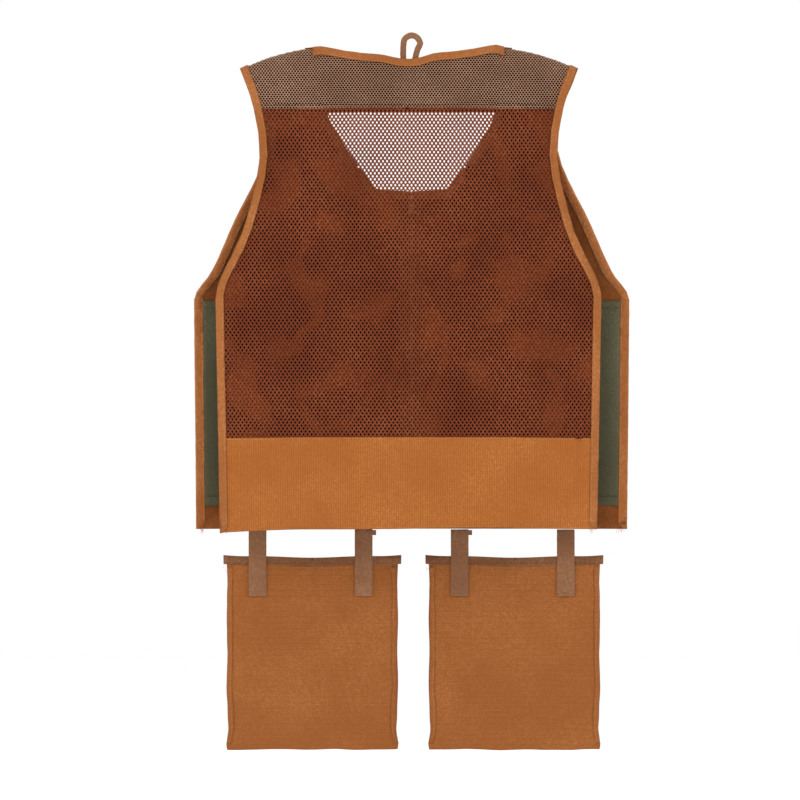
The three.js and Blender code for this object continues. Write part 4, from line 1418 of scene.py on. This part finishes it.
@dataclass
class Bindings(Assembly):
    """Folded tapes round every edge, with their stitches, and the hang loop."""

    lip: float = 1.5
    stitch_inset: float = 8.0
    tape_thickness: float = 0.8
    cloth: float = 2.4
    dip: float = 5.4
    dip_height: float = 110
    foot_carry: float = 8.9
    foot_point: float = 2.5

    def build(self) -> None:
        """Make and dress every piece."""
        for index, side in enumerate(Side):
            for stem in ("back_binding", "front_binding", "neck_binding_front",
                         "neck_binding_foot"):
                node = f"{stem}_{side.word}"
                rule = self.foot_reach if stem == "neck_binding_foot" else soften(0.35, 46,
                                                                                  1.1 * index + len(stem))
                if node == "back_binding_left":
                    rule = self.foot_dip
                piece = from_node(f"{node}_tape", node, 16, rule)
                self.fit(piece, "shell", Finish.BINDING, (node,))
        neck = from_node("neck_binding_back_tape", "neck_binding_back", 12, self.neck_wave)
        self.fit(neck, "shell", Finish.BINDING, ("neck_binding_back",))
        loop = from_node("hang_loop_tape", "hang_loop", 5, soften(0.25, 14, 0.4))
        self.fit(loop, "shell", Finish.WEBBING, ("hang_loop",))
        self.build_stitches()

    def foot_dip(self, places: Array, away: Array) -> Array:
        """Lower the foot of a side binding with the dipping corner of the hem."""
        moved = soften(0.35, 46, 13.1)(places, away)
        near_foot = np.clip((self.garment.hem + self.dip_height - places[:, 2]) / self.dip_height,
                            0, 1)
        moved[:, 2] -= self.dip * near_foot
        return moved

    def foot_reach(self, places: Array, away: Array) -> Array:
        """Carry the neck bindings of the fronts up to the zipper's centre line."""
        moved = places + away * (0.3 * ripple(places, 46, 0.5))[:, None]
        across = places[:, 0] - self.garment.front_shift
        moved[:, 0] -= np.sign(across) * self.foot_carry * np.clip((40 - np.abs(across)) / 31, 0, 1)
        moved[:, 2] -= self.foot_point * np.exp(-(across / 30) ** 2)
        return moved

    def neck_wave(self, places: Array, away: Array) -> Array:
        """Small rises and dips of the neck's edge."""
        moved = places + away * (0.3 * ripple(places, 40, 2.2))[:, None]
        moved[:, 0] *= 1 + 0.024 * (np.abs(places[:, 0]) / 131) ** 8
        moved[:, 2] += self.garment.neck_rise(places[:, 0])
        return moved

    def side_row(self, face: Face, inside: bool) -> Array:
        """Stitches down a right-hand side binding, on one of its two faces."""
        g = self.garment
        foot = math.sqrt(float(g.ridge(g.half(face, np.array(g.hem)))) - g.hem)
        roots = np.linspace(0.6, foot - 0.1, 220)

        def surface(inset: Array, root: Array) -> Array:
            """Places at an inset from the edge and a root of the drop."""
            return g.dropped(face, lambda z: g.half(face, z) - inset, root)

        lift = self.cloth / 2 + self.lip * 0.4 + self.tape_thickness + 0.1
        insets = np.full_like(roots, self.stitch_inset)
        return self.lifted(surface, insets, roots, -lift if inside else lift, face)

    def build_stitches(self) -> None:
        """Rows of stitches on every binding."""
        g = self.garment
        for side in Side:
            rows = []
            for face in Face:
                for inside in (False, True):
                    row = self.side_row(face, inside)
                    if side is Side.LEFT:
                        row = g.mirrored(row) if face is Face.FRONT else row * (-1, 1, 1)
                    rows.append(row)
            v = np.linspace(0, 0.985, 60)
            neck = self.lifted(g.front_yoke_at, np.full_like(v, 0.085), v, 2.5, Face.FRONT)
            rows.append(neck if side is Side.RIGHT else g.mirrored(neck))
            self.seam(f"binding_stitches_{side.word}", rows, "shell")
        s = np.linspace(-0.56, 0.56, 90)
        edge, below = g.back_yoke_at(s, np.zeros_like(s)), g.back_yoke_at(s, np.full_like(s, 0.1))
        into = (below - edge) / np.linalg.norm(below - edge, axis=-1, keepdims=True)
        row = edge + into * self.stitch_inset
        row[:, 1] -= 2.9
        row[:, 2] += g.neck_rise(row[:, 0])
        self.seam("neck_stitches", [row], "shell")


@dataclass
class Fronts(Assembly):
    """Canvas fronts, their net yokes and the olive inner pockets."""

    canvas_thickness: float = 1.4
    canvas_crease: float = 0.4
    lining_thickness: float = 0.8
    pocket_top: float = -367.0
    pocket_foot: float = -654.0
    pocket_inner: float = 110.0
    pocket_outer: float = 10.6
    covered: float = 6.0
    yoke_weave: NetWeave = NetWeave(4.2, 3.05, 0.66, 0.76, 0.8, 0.25)

    def build(self) -> None:
        """Make and dress every piece."""
        for side in Side:
            self.build_panel(side)
            self.build_yoke(side)
            self.build_inner_pocket(side)

    def turned(self, places: Array, side: Side) -> Array:
        """Places of the right-hand side, moved to a side."""
        return places if side is Side.RIGHT else self.garment.mirrored(places)

    def build_panel(self, side: Side) -> None:
        """Canvas of one front: orange outside; rubbed inside, and dark with painted shade where the back
        covers it.
        """
        u, v = grid(np.linspace(0, 0.998, 60), np.linspace(0, 1, 80))
        places = self.garment.front_panel_at(u, v)
        away = outward(places, Face.FRONT)
        hold = np.clip(6 * u, 0, 1) * (1 - u**6) * np.clip(6 * v * (1 - v), 0, 1)
        creased = places + away * (self.canvas_crease * hold * ripple(places, 120, 3.0))[..., None]
        places = self.turned(creased, side)
        away = outward(places, Face.FRONT)
        piece = cloth_sheet(f"front_canvas_{side.word}", places, away, self.canvas_thickness)
        self.wardrobe.dress(piece, Finish.CANVAS)
        self.face_inside(piece, side, -0.3)
        self.fit(piece, "shell", Finish.CANVAS, (f"front_panel_{side.word}",), dress=False)

    def face_inside(self, piece: bpy.types.Object, side: Side, turned: float) -> None:
        """Give the wearer's side of a piece the inner finishes: painted shade, dark, where the back covers
        it, and the plain brown inner canvas at its margin.

        Args:
            piece: The piece, dressed in its outer finish.
            side: Side of the garment; not used.
            turned: Faces whose normal's y is less than this are on the wearer's side.
        """
        for finish in (Finish.INNER, Finish.MARGIN):
            piece.data.materials.append(self.wardrobe.get(finish))
        for polygon in piece.data.polygons:
            if polygon.normal.y < turned:
                z = np.array(polygon.center.z / MM)
                hidden = abs(polygon.center.x) / MM < self.garment.half(Face.BACK, z) - self.covered
                polygon.material_index = 1 if hidden else 2

    def build_yoke(self, side: Side) -> None:
        """Net yoke of one front over its backing."""
        u, v = grid(np.linspace(0, 1, 60), np.linspace(0, 1.01, 70))
        places = self.turned(self.garment.front_yoke_at(u, v), side)
        away = outward(places, Face.FRONT)
        over = places + away * 0.8
        name = f"front_yoke_net_{side.word}"
        net = self.workshop.net_piece(name, over, away, self.yoke_weave, Finish.YOKE_NET)
        self.fit(net, "shell", Finish.YOKE_NET, (f"front_yoke_{side.word}",), dress=False)
        u, v = grid(np.linspace(0.01, 0.995, 24), np.linspace(0, 1.035, 31))
        places = self.turned(self.garment.front_yoke_at(u, v), side)
        away = outward(places, Face.FRONT)
        backing = cloth_sheet(f"front_yoke_backing_{side.word}", places - away * 1.25, away, 0.7)
        self.fit(backing, "shell", Finish.YOKE_BACKING)
        # Its wearer's side gets painted shade where the back covers it.
        self.face_inside(backing, side, -0.1)

    def build_inner_pocket(self, side: Side) -> None:
        """Olive pocket bag on the wearer's side of a front, with folded top and foot."""
        g = self.garment
        u, v = grid(np.linspace(0, 1, 60), np.linspace(0, 1, 70))
        z = self.pocket_top + (self.pocket_foot - self.pocket_top) * v
        edge = g.half(Face.FRONT, z) - self.pocket_outer
        x = self.pocket_inner + (edge - self.pocket_inner) * u
        places = g.point(Face.FRONT, x, z)
        places[..., 1] -= 2.2
        sag = (0.9 * (ripple(places, 90, 5.0) + 0.5 * ripple(places, 34, 1.0))
               * np.clip(8 * u * (1 - u), 0, 1))
        folds = 1.2 * np.exp(-((v - 0.02) / 0.02) ** 2), 1.4 * np.exp(-((v - 0.975) / 0.02) ** 2)
        places[..., 1] -= np.abs(sag) + folds[0] + folds[1]
        places[..., 2] += 1.6 * ripple(places, 60, 2.0) * (v > 0.9) * v
        places = self.turned(places, side)
        piece = cloth_sheet(f"inner_pocket_bag_{side.word}", places, outward(places, Face.FRONT),
                            self.lining_thickness)
        self.fit(piece, "shell", Finish.LINING, (f"inner_pocket_{side.word}",))
        # Faces under the back get the dark inner canvas: painted shade inside the vest, not olive lining.
        piece.data.materials.append(self.wardrobe.get(Finish.INNER))
        for polygon in piece.data.polygons:
            under = self.garment.half(Face.BACK, np.array(polygon.center.z / MM)) - self.covered
            polygon.material_index = 1 if abs(polygon.center.x) / MM < under else 0
        rows = []
        for level in (0.035, 0.955):
            t = np.linspace(0.35, 0.99, 70)
            zs = np.full_like(t, self.pocket_top + (self.pocket_foot - self.pocket_top) * level)
            reach = g.half(Face.FRONT, zs) - self.pocket_outer - self.pocket_inner
            xs = self.pocket_inner + reach * t
            row = g.point(Face.FRONT, xs, zs)
            row[:, 1] -= 4.3
            rows.append(self.turned(row, side))
        self.seam(f"inner_pocket_stitches_{side.word}", rows, "shell", Finish.YOKE_BACKING)


@dataclass
class Zipper(Assembly):
    """Zipper down the fronts: woven tapes, moulded teeth and brass fittings."""

    tooth_pitch: float = 2.3
    tooth_height: float = 1.35
    tooth_reach: float = 1.85
    tape_reach: float = 3.4

    def build(self) -> None:
        """Make and dress every piece."""
        for side in Side:
            node = f"zipper_tape_{side.word}"
            tape = from_node(f"{node}_woven", node, 9, self.under_teeth)
            self.fit(tape, "shell", Finish.ZIP_TAPE, (node,))
            self.build_teeth(side)
            self.wardrobe.dress(bpy.data.objects[f"zipper_top_stop_{side.word}"], Finish.BRASS)
        for node in ("zipper_bottom_box", "zipper_slider", "zipper_pull_tab"):
            self.wardrobe.dress(bpy.data.objects[node], Finish.BRASS)

    def under_teeth(self, places: Array, away: Array) -> Array:
        """Carry a tape's inner edge in under its teeth."""
        moved = places + away * (0.1 * ripple(places, 30, 0.6))[:, None]
        across = places[:, 0] - self.garment.front_shift
        moved[:, 0] -= np.sign(across) * self.tape_reach * (np.abs(across) < 5)
        return moved

    def build_teeth(self, side: Side) -> None:
        """One row of teeth, set half a pitch from the other row."""
        node = f"zipper_teeth_{side.word}"
        low, high = box_mm(node)
        start = np.array([(low[0] + high[0]) / 2 - side.value * 0.95, (low[1] + high[1]) / 2,
                          low[2] + 1])
        start[2] += self.tooth_pitch / 2 if side is Side.LEFT else 0
        carrier = mesh_object(f"{node}_carrier", np.zeros((3, 3)), [[0, 1, 2]])
        size = (high[0] - low[0]) * self.tooth_reach, (high[1] - low[1]) * 0.96, self.tooth_height
        count = int((high[2] - start[2]) / self.tooth_pitch)
        piece = self.workshop.run(f"{node}_row", carrier, self.workshop.teeth, Finish.TEETH, {
            "Start": tuple(start * MM), "Pitch": self.tooth_pitch * MM, "Count": count,
            "Tooth": tuple(v * MM for v in size)})
        bpy.data.objects.remove(carrier)
        self.fit(piece, "shell", Finish.TEETH, (node,), dress=False)


@dataclass
class Pocket(Assembly):
    """One patch pocket on a front, with its flap, the flap's seam and its fastening."""

    stem: str = "chest"
    side: Side = Side.RIGHT
    bulge: float = 2.4

    def build(self) -> None:
        """Make and dress every piece."""
        tag = self.side.word
        low, high = box_mm(f"{self.stem}_pocket_{tag}")
        middle = (low + high) / 2
        half = (high - low) / 2

        def swell(places: Array, away: Array) -> Array:
            """Round the pocket out below its flap and crease its cloth."""
            across = (places[:, 0] - middle[0]) / half[0]
            up = (places[:, 2] - middle[2]) / half[2]
            crown = np.clip(1 - across**2, 0, 1) * np.clip(1 - np.abs(up + 0.35) ** 3, 0, 1)
            facing = np.clip(away[:, 1], 0, 1) * (places[:, 1] > middle[1])
            moved = places.copy()
            moved[:, 1] += self.bulge * crown * (places[:, 1] > middle[1]) * (up < 0.15)
            crease = 0.5 * ripple(places, 48, 1.9) + 0.35 * ripple(places, 17, 0.3)
            moved[:, 1] += facing * crease * (np.abs(across) < 0.95) * (up < 0.3)
            return moved

        bag = from_node(f"{self.stem}_pocket_bag_{tag}", f"{self.stem}_pocket_{tag}", 7, swell, 0.5)
        self.fit(bag, "shell", Finish.CANVAS, (f"{self.stem}_pocket_{tag}",))
        flap_body = f"{self.stem}_flap_{tag}"
        flap = from_node(f"{self.stem}_flap_cloth_{tag}", flap_body, 7, soften(0.3, 40, 2.0), 0.35)
        self.fit(flap, flap_body, Finish.CANVAS, (flap_body,))
        seam_node = f"{self.stem}_flap_seam_{tag}"
        seam = from_node(f"{seam_node}_cloth", seam_node, 9, soften(0.2, 30, 1.0), 0.3)
        self.fit(seam, "shell", Finish.CANVAS, (seam_node,))
        for word, body in (("loop", "shell"), ("hook", flap_body)):
            node = f"{self.stem}_{word}_patch_{tag}"
            patch = from_node(f"{node}_pile", node, 4, soften(0.08, 5, 1.0))
            self.fit(patch, body, Finish.HOOK, (node,))
        self.build_stitches(flap_body, seam_node, low, high)

    def build_stitches(self, flap_body: str, seam_node: str, low: Array, high: Array) -> None:
        """Rows round the flap, along its seam and round the pocket's face."""
        tag = self.side.word
        flap_low, flap_high = box_mm(flap_body)
        self.seam(f"{self.stem}_flap_stitches_{tag}",
                  [self.row_round(flap_body, flap_low, flap_high, 5.0, False)], flap_body)
        rows = [self.row_round(f"{self.stem}_pocket_{tag}", low, high, 5.0, True)]
        seam_low, seam_high = box_mm(seam_node)
        xs = np.linspace(seam_low[0] + 4, seam_high[0] - 4, 30)
        rows.append(self.onto(seam_node, xs, np.full_like(xs, (seam_low[2] + seam_high[2]) / 2)))
        self.seam(f"{self.stem}_pocket_stitches_{tag}", rows, "shell")

    def row_round(self, node: str, low: Array, high: Array, inset: float, open_top: bool) -> Array:
        """A row down one side, along the foot and up the other side of a node's front."""
        left, right, foot = low[0] + inset, high[0] - inset, low[2] + inset
        top = high[2] - (14 if open_top else inset)
        corners = [(left, top), (left, foot), (right, foot), (right, top)]
        return self.onto(node, *np.array(dense(corners, 3)).T)

    def onto(self, node: str, xs: Array, zs: Array) -> Array:
        """Places just in front of what stands for a node."""
        source = next(o for o in bpy.data.objects if o.get("stands_for") == node)
        rows = []
        for x, z in zip(xs, zs):
            place = hit_along_y(source, x, z, 300.0)
            if place is not None:
                rows.append(place + (0, 0.15, 0))
        return np.array(rows)

    def fit(self, piece: bpy.types.Object, body: str, finish: Finish, nodes: Sequence[str] = (),
            dress: bool = True) -> bpy.types.Object:
        """Fit a piece and remember the node it stands for."""
        if nodes:
            piece["stands_for"] = nodes[0]
        return super().fit(piece, body, finish, nodes, dress)


@dataclass
class Pouch(Assembly):
    """One pouch with its top tape, its two straps and the keeper on the inner strap.

    Attributes:
        side: Side of the garment.
        strap_foot: Height of the straps' feet.
        box_height: Height of the stitched boxes.
        strap_half: Half the straps' width.
        strap_lean: How far a strap turns with the hem, for each millimetre across.
        strap_inset: Distance of the stitches from the straps' edges.
        sag: Dip of the mouth between the straps.
        drift: How far the bag hangs to one side.
        spread: How far the bag's sides stand out.
        corner: Extra width at the corners of the foot.
        curl: Rise of the mouth's ends.
        length: Stretch of the bag down to its foot.
        tape_end: How far the tape's cut ends stand out.
    """

    side: Side = Side.RIGHT
    strap_foot: float = -782.0
    box_height: float = 24.0
    strap_half: float = 12.5
    strap_lean: float = 0.05
    strap_inset: float = 3.0
    sag: float = 2.2
    drift: float = 2.4
    spread: float = 2.6
    corner: float = 4.4
    curl: float = 1.6
    length: float = 4.0
    tape_end: float = 3.4

    def build(self) -> None:
        """Make and dress every piece."""
        tag, body = self.side.word, f"pouch_{self.side.word}"
        low, high = box_mm(body)
        self.middle = (low + high) / 2
        self.half = (high - low) / 2
        self.top, self.foot = high[2], low[2]
        bag = from_node(f"pouch_bag_{tag}", body, 6, self.hang)
        self.fit(bag, body, Finish.POUCH, (body,))
        for edge in (-1, 1):
            self.build_side_fold(bag, edge)
        tape = from_node(f"pouch_top_tape_{tag}", f"pouch_top_binding_{tag}", 7, self.hang_tape)
        self.fit(tape, body, Finish.POUCH_TAPE, (f"pouch_top_binding_{tag}",))
        for word in ("inner", "outer"):
            node = f"pouch_strap_{word}_{tag}"
            strap = from_node(f"{node}_web", node, 6, self.strap_move, 0.45)
            self.fit(strap, body, Finish.WEBBING, (node,))
        keeper = from_node(f"strap_keeper_{tag}_web", f"strap_keeper_{tag}", 4,
                           soften(0.2, 12, 1.0), 0.45)
        self.fit(keeper, body, Finish.WEBBING, (f"strap_keeper_{tag}",))
        self.build_stitches()

    def hang(self, places: Array, away: Array) -> Array:
        """Let the bag sag between its straps, draw in near its foot and crease."""
        across = (places[:, 0] - self.middle[0]) / self.half[0]
        down = np.clip((self.top - places[:, 2]) / (self.top - self.foot), 0, 1)
        moved = places.copy()
        between = np.cos(np.clip(across / 0.63, -1, 1) * math.pi / 2) ** 2
        ends = np.clip((np.abs(across) - 0.8) / 0.2, 0, 1) ** 2
        moved[:, 2] -= (self.sag * between - self.curl * ends) * (1 - down) ** 2
        moved[:, 0] += self.drift + self.spread * across
        moved[:, 2] -= self.length * down
        in_corner = np.clip((down - 0.965) / 0.03, 0, 1) * (np.abs(across) > 0.9)
        moved[:, 0] += np.sign(across) * self.corner * in_corner
        waist = 1.9 * np.exp(-((down - 0.9) / 0.05) ** 2) + 1.2 * np.sin(3.1 * math.pi * down) ** 2
        moved[:, 0] -= np.sign(across) * np.abs(across) ** 6 * waist
        moved[:, 2] += 1.1 * ripple(places, 120, 2.0 + self.side.value) * down**8
        free = np.clip(8 * down, 0, 1) * (1 - np.abs(across) ** 6)
        crease = (0.7 * ripple(places, 105, 3.3 * self.side.value)
                  + 0.22 * ripple(places * (0.3, 1, 1), 13, 0.9))
        return moved + away * (free * (crease - 0.25))[:, None]

    def hang_tape(self, places: Array, away: Array) -> Array:
        """The same for the tape, whose cut ends stand out past the bag."""
        across = (places[:, 0] - self.middle[0]) / self.half[0]
        moved = self.hang(places, away)
        moved[:, 0] += np.sign(across) * self.tape_end * np.clip((np.abs(across) - 0.92) / 0.08, 0,
                                                                 1)
        return moved

    def build_side_fold(self, bag: bpy.types.Object, edge: int) -> None:
        """Turned seam allowance down one side of the bag, with its stitches.

        Args:
            bag: The bag it is sewn to.
            edge: Sign of x of the side.
        """
        tag, word = self.side.word, "left" if edge < 0 else "right"
        levels = np.linspace(self.top - 13, self.foot + 5, 64)
        rows = []
        for z in levels:
            ends = [bag.ray_cast(Vector((self.middle[0] + edge * 400, y, z)) * MM,
                                 Vector((-edge, 0, 0)))
                    for y in np.linspace(self.middle[1] - 14, self.middle[1], 5)]
            reach = max((abs(p.x / MM - self.middle[0]) for hit, p, _, _ in ends if hit),
                        default=self.half[0])
            reach -= 0.9 + 0.5 * math.sin(z / 11)
            row = []
            for inset in (0.0, 2.5, 5.0, 7.0 + 0.6 * math.sin(z / 17)):
                x = self.middle[0] + edge * (reach - inset)
                place = hit_along_y(bag, x, z)
                row.append(rows[-1][len(row)] if place is None else place)
            rows.append(row)
        places = np.array(rows)
        away = outward(places, Face.BACK)
        name = f"pouch_side_fold_{word}_{tag}"
        fold = cloth_sheet(name, places + away * 0.65, away, 0.9)
        self.fit(fold, f"pouch_{tag}", Finish.POUCH)
        stitches = (places + away * 1.3)[4:-4, 2]
        self.seam(f"{name}_stitches", [stitches], f"pouch_{tag}", spacing=3.2, length=2.0,
                  thread=0.6)

    def strap_move(self, places: Array, away: Array) -> Array:
        """A slight curl along each strap."""
        return places + away * (0.2 * ripple(places, 26, 1.4))[:, None]

    def build_stitches(self) -> None:
        """Stitched boxes at the feet of the straps and the row along the top tape."""
        tag, body = self.side.word, f"pouch_{self.side.word}"
        rows = []
        for word in ("inner", "outer"):
            low, high = box_mm(f"pouch_strap_{word}_{tag}")
            x, y = (low[0] + high[0]) / 2, low[1] - 0.1
            left, right = x - self.strap_half + self.strap_inset, x + self.strap_half - self.strap_inset
            foot, top = self.strap_foot + self.strap_inset, self.strap_foot + self.box_height
            box = [(left, foot), (right, foot), (right, top), (left, top), (left, foot)]
            zig = [(left if i % 2 else right, foot + (top - foot) * i / 8) for i in range(9)]
            for shape in (box, zig):
                rows.append(np.array([(px, y, pz) for px, pz in dense(shape, 1.5)]))
        for row in rows:
            centre = (row[:, 0].min() + row[:, 0].max()) / 2
            lean = -self.strap_lean * self.side.value
            row[:, 1] += lean * (row[:, 0] - centre) + abs(lean) * self.strap_half
        self.seam(f"strap_stitches_{tag}", rows, body, Finish.TAN_THREAD, spacing=2.6, length=2.2,
                  thread=0.7)
        tape = bpy.data.objects[f"pouch_top_tape_{tag}"]
        xs = np.linspace(self.middle[0] - self.half[0] * 0.95, self.middle[0] + self.half[0] * 0.97,
                         80)
        line = []
        for x in xs:
            place = hit_along_y(tape, x, self.top - 8.5)
            if place is not None:
                line.append(place - (0, 0.12, 0))
        self.seam(f"pouch_tape_stitches_{tag}", [np.array(line)], body, Finish.HOOK, spacing=3.2,
                  length=1.7)


@dataclass
class LooseThreads(Assembly):
    """Frayed ends where tapes are cut and at the pouches' side seams."""

    thread: float = 0.45
    length: float = 8.0
    seed: int = 11

    def build(self) -> None:
        """Make the tufts on the garment and on each pouch."""
        rng = np.random.default_rng(self.seed)
        tufts = []
        for node in ("back_binding_left", "back_binding_right", "front_binding_left",
                     "front_binding_right"):
            inner = 1 if "left" in node else -1
            foot = self.garment.half(Face.BACK if "back" in node else Face.FRONT,
                                     np.array(self.garment.hem))
            shift = self.garment.front_shift if "front" in node else 0.0
            x = shift - inner * (float(foot) - 5)
            y = self.garment.set_back + (-14.2 if "back" in node else 12.2)
            tufts.append((np.array([x, y, self.garment.hem + 1]), np.array([0.2 * inner, 0, -1.0]),
                          12))
        self.tuft("loose_threads_garment", tufts, "shell", rng)
        for side in Side:
            low, high = box_mm(f"pouch_{side.word}")
            ends = []
            for x, sign in ((low[0], -1), (high[0], 1)):
                top = np.array([x - 2.5 * sign, low[1] + 4, high[2] - 15])
                ends.append((top, np.array([0.12 * sign, -0.15, -1.0]), 9))
            self.tuft(f"loose_threads_pouch_{side.word}", ends, f"pouch_{side.word}", rng)

    def tuft(self, name: str, tufts: Sequence[tuple[Array, Array, int]], body: str,
             rng: np.random.Generator) -> None:
        """Short curved threads that start near a few places.

        Args:
            name: Name of the piece.
            tufts: Start, direction and count of each tuft.
            body: Body that it rides on.
            rng: Source of the threads' differences.
        """
        places, faces = [], []
        for start, way, count in tufts:
            for _ in range(count):
                base = start + rng.normal(0, 1, 3) * (2.6, 0.5, 1.6)
                bend = rng.normal(0, 1, 3) * (1.6, 0.7, 1.2)
                reach = self.length * rng.uniform(0.4, 1.0)
                first = len(places)
                for step in range(5):
                    t = step / 4
                    middle = base + way * reach * t + bend * t * t
                    radius = self.thread / 2 * (1 - 0.5 * t)
                    for k in range(3):
                        angle = 2 * math.pi * k / 3
                        places.append(middle + radius * np.array([math.cos(angle), math.sin(angle),
                                                                  0]))
                for step in range(4):
                    for k in range(3):
                        a, b = first + step * 3 + k, first + step * 3 + (k + 1) % 3
                        faces.append([a, b, b + 3, a + 3])
                faces += [[first + 2, first + 1, first], [first + 12, first + 13, first + 14]]
        piece = mesh_object(name, np.array(places), faces)
        facing_out(piece)
        self.fit(piece, body, Finish.THREAD)


@dataclass(frozen=True)
class Studio:
    """Camera, lights and floor, in metres and watts; the floor's half width is in millimetres."""

    target: tuple[float, float, float] = (-0.0119, 0.0, -0.5061)
    distance: float = 14.0
    frame_width: float = 1.12
    sensor: float = 36.0
    floor_gap: float = 0.1
    floor_half: float = 9000
    lamps: tuple[tuple[str, tuple[float, float, float], float, float], ...] = (
        ("key", (-1.6, -3.2, 1.4), 1.6, 24.0),
        ("fill", (2.4, -2.6, 0.2), 1.8, 8.0),
        ("back", (0.4, 3.0, 1.0), 1.8, 16.0),
    )

    def build(self) -> None:
        """Make them all."""
        scene = bpy.context.scene
        camera_data = bpy.data.cameras.new("camera")
        camera_data.sensor_width = self.sensor
        camera_data.lens = self.sensor * self.distance / self.frame_width
        camera = placed("camera", camera_data)
        camera.location = Vector(self.target) + Vector((0, -self.distance, 0))
        camera.rotation_euler = (math.pi / 2, 0, 0)
        scene.camera = camera
        world = bpy.data.worlds.new("studio")
        world.use_nodes = True
        background = world.node_tree.nodes["Background"]
        background.inputs[0].default_value = (1, 1, 1, 1)
        background.inputs[1].default_value = 1.0
        scene.world = world
        scene.view_settings.view_transform = "Standard"
        for lamp in self.lamps:
            self.add_lamp(*lamp)
        corners = [(x * self.floor_half, y * self.floor_half, 0)
                   for x, y in ((-1, -1), (1, -1), (1, 1), (-1, 1))]
        floor = mesh_object("floor", np.array(corners, float), [[0, 1, 2, 3]])
        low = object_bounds()[0]
        floor.data.transform(Matrix.Translation((0, 0, low[2] - self.floor_gap)))
        material = bpy.data.materials.new("pale_floor")
        material.use_nodes = True
        shader = material.node_tree.nodes["Principled BSDF"]
        shader.inputs["Base Color"].default_value = (1.0, 1.0, 1.0, 1)
        shader.inputs["Roughness"].default_value = 0.9
        floor.data.materials.append(material)
        floor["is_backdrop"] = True

    def add_lamp(self, name: str, place: tuple[float, float, float], size: float,
                 power: float) -> None:
        """A square soft light that faces the garment."""
        data = bpy.data.lights.new(name, "AREA")
        data.size = size
        data.energy = power
        lamp = placed(name, data)
        lamp.location = place
        lamp.rotation_euler = (Vector(self.target) - Vector(place)).to_track_quat("-Z",
                                                                                  "Y").to_euler()


def main() -> None:
    """Build the looks of the vest in order."""
    logging.basicConfig(level=logging.INFO, format="%(name)s: %(message)s")
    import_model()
    garment, wardrobe = Garment(), Wardrobe()
    workshop = Workshop(wardrobe)
    shared = (garment, wardrobe, workshop)
    BackPanels(*shared).build()
    Bindings(*shared).build()
    Fronts(*shared).build()
    Zipper(*shared).build()
    for side in Side:
        for stem in ("chest", "lower"):
            Pocket(*shared, stem=stem, side=side).build()
        Pouch(*shared, side=side).build()
    LooseThreads(*shared).build()
    Studio().build()


if __name__ == "__main__":
    main()
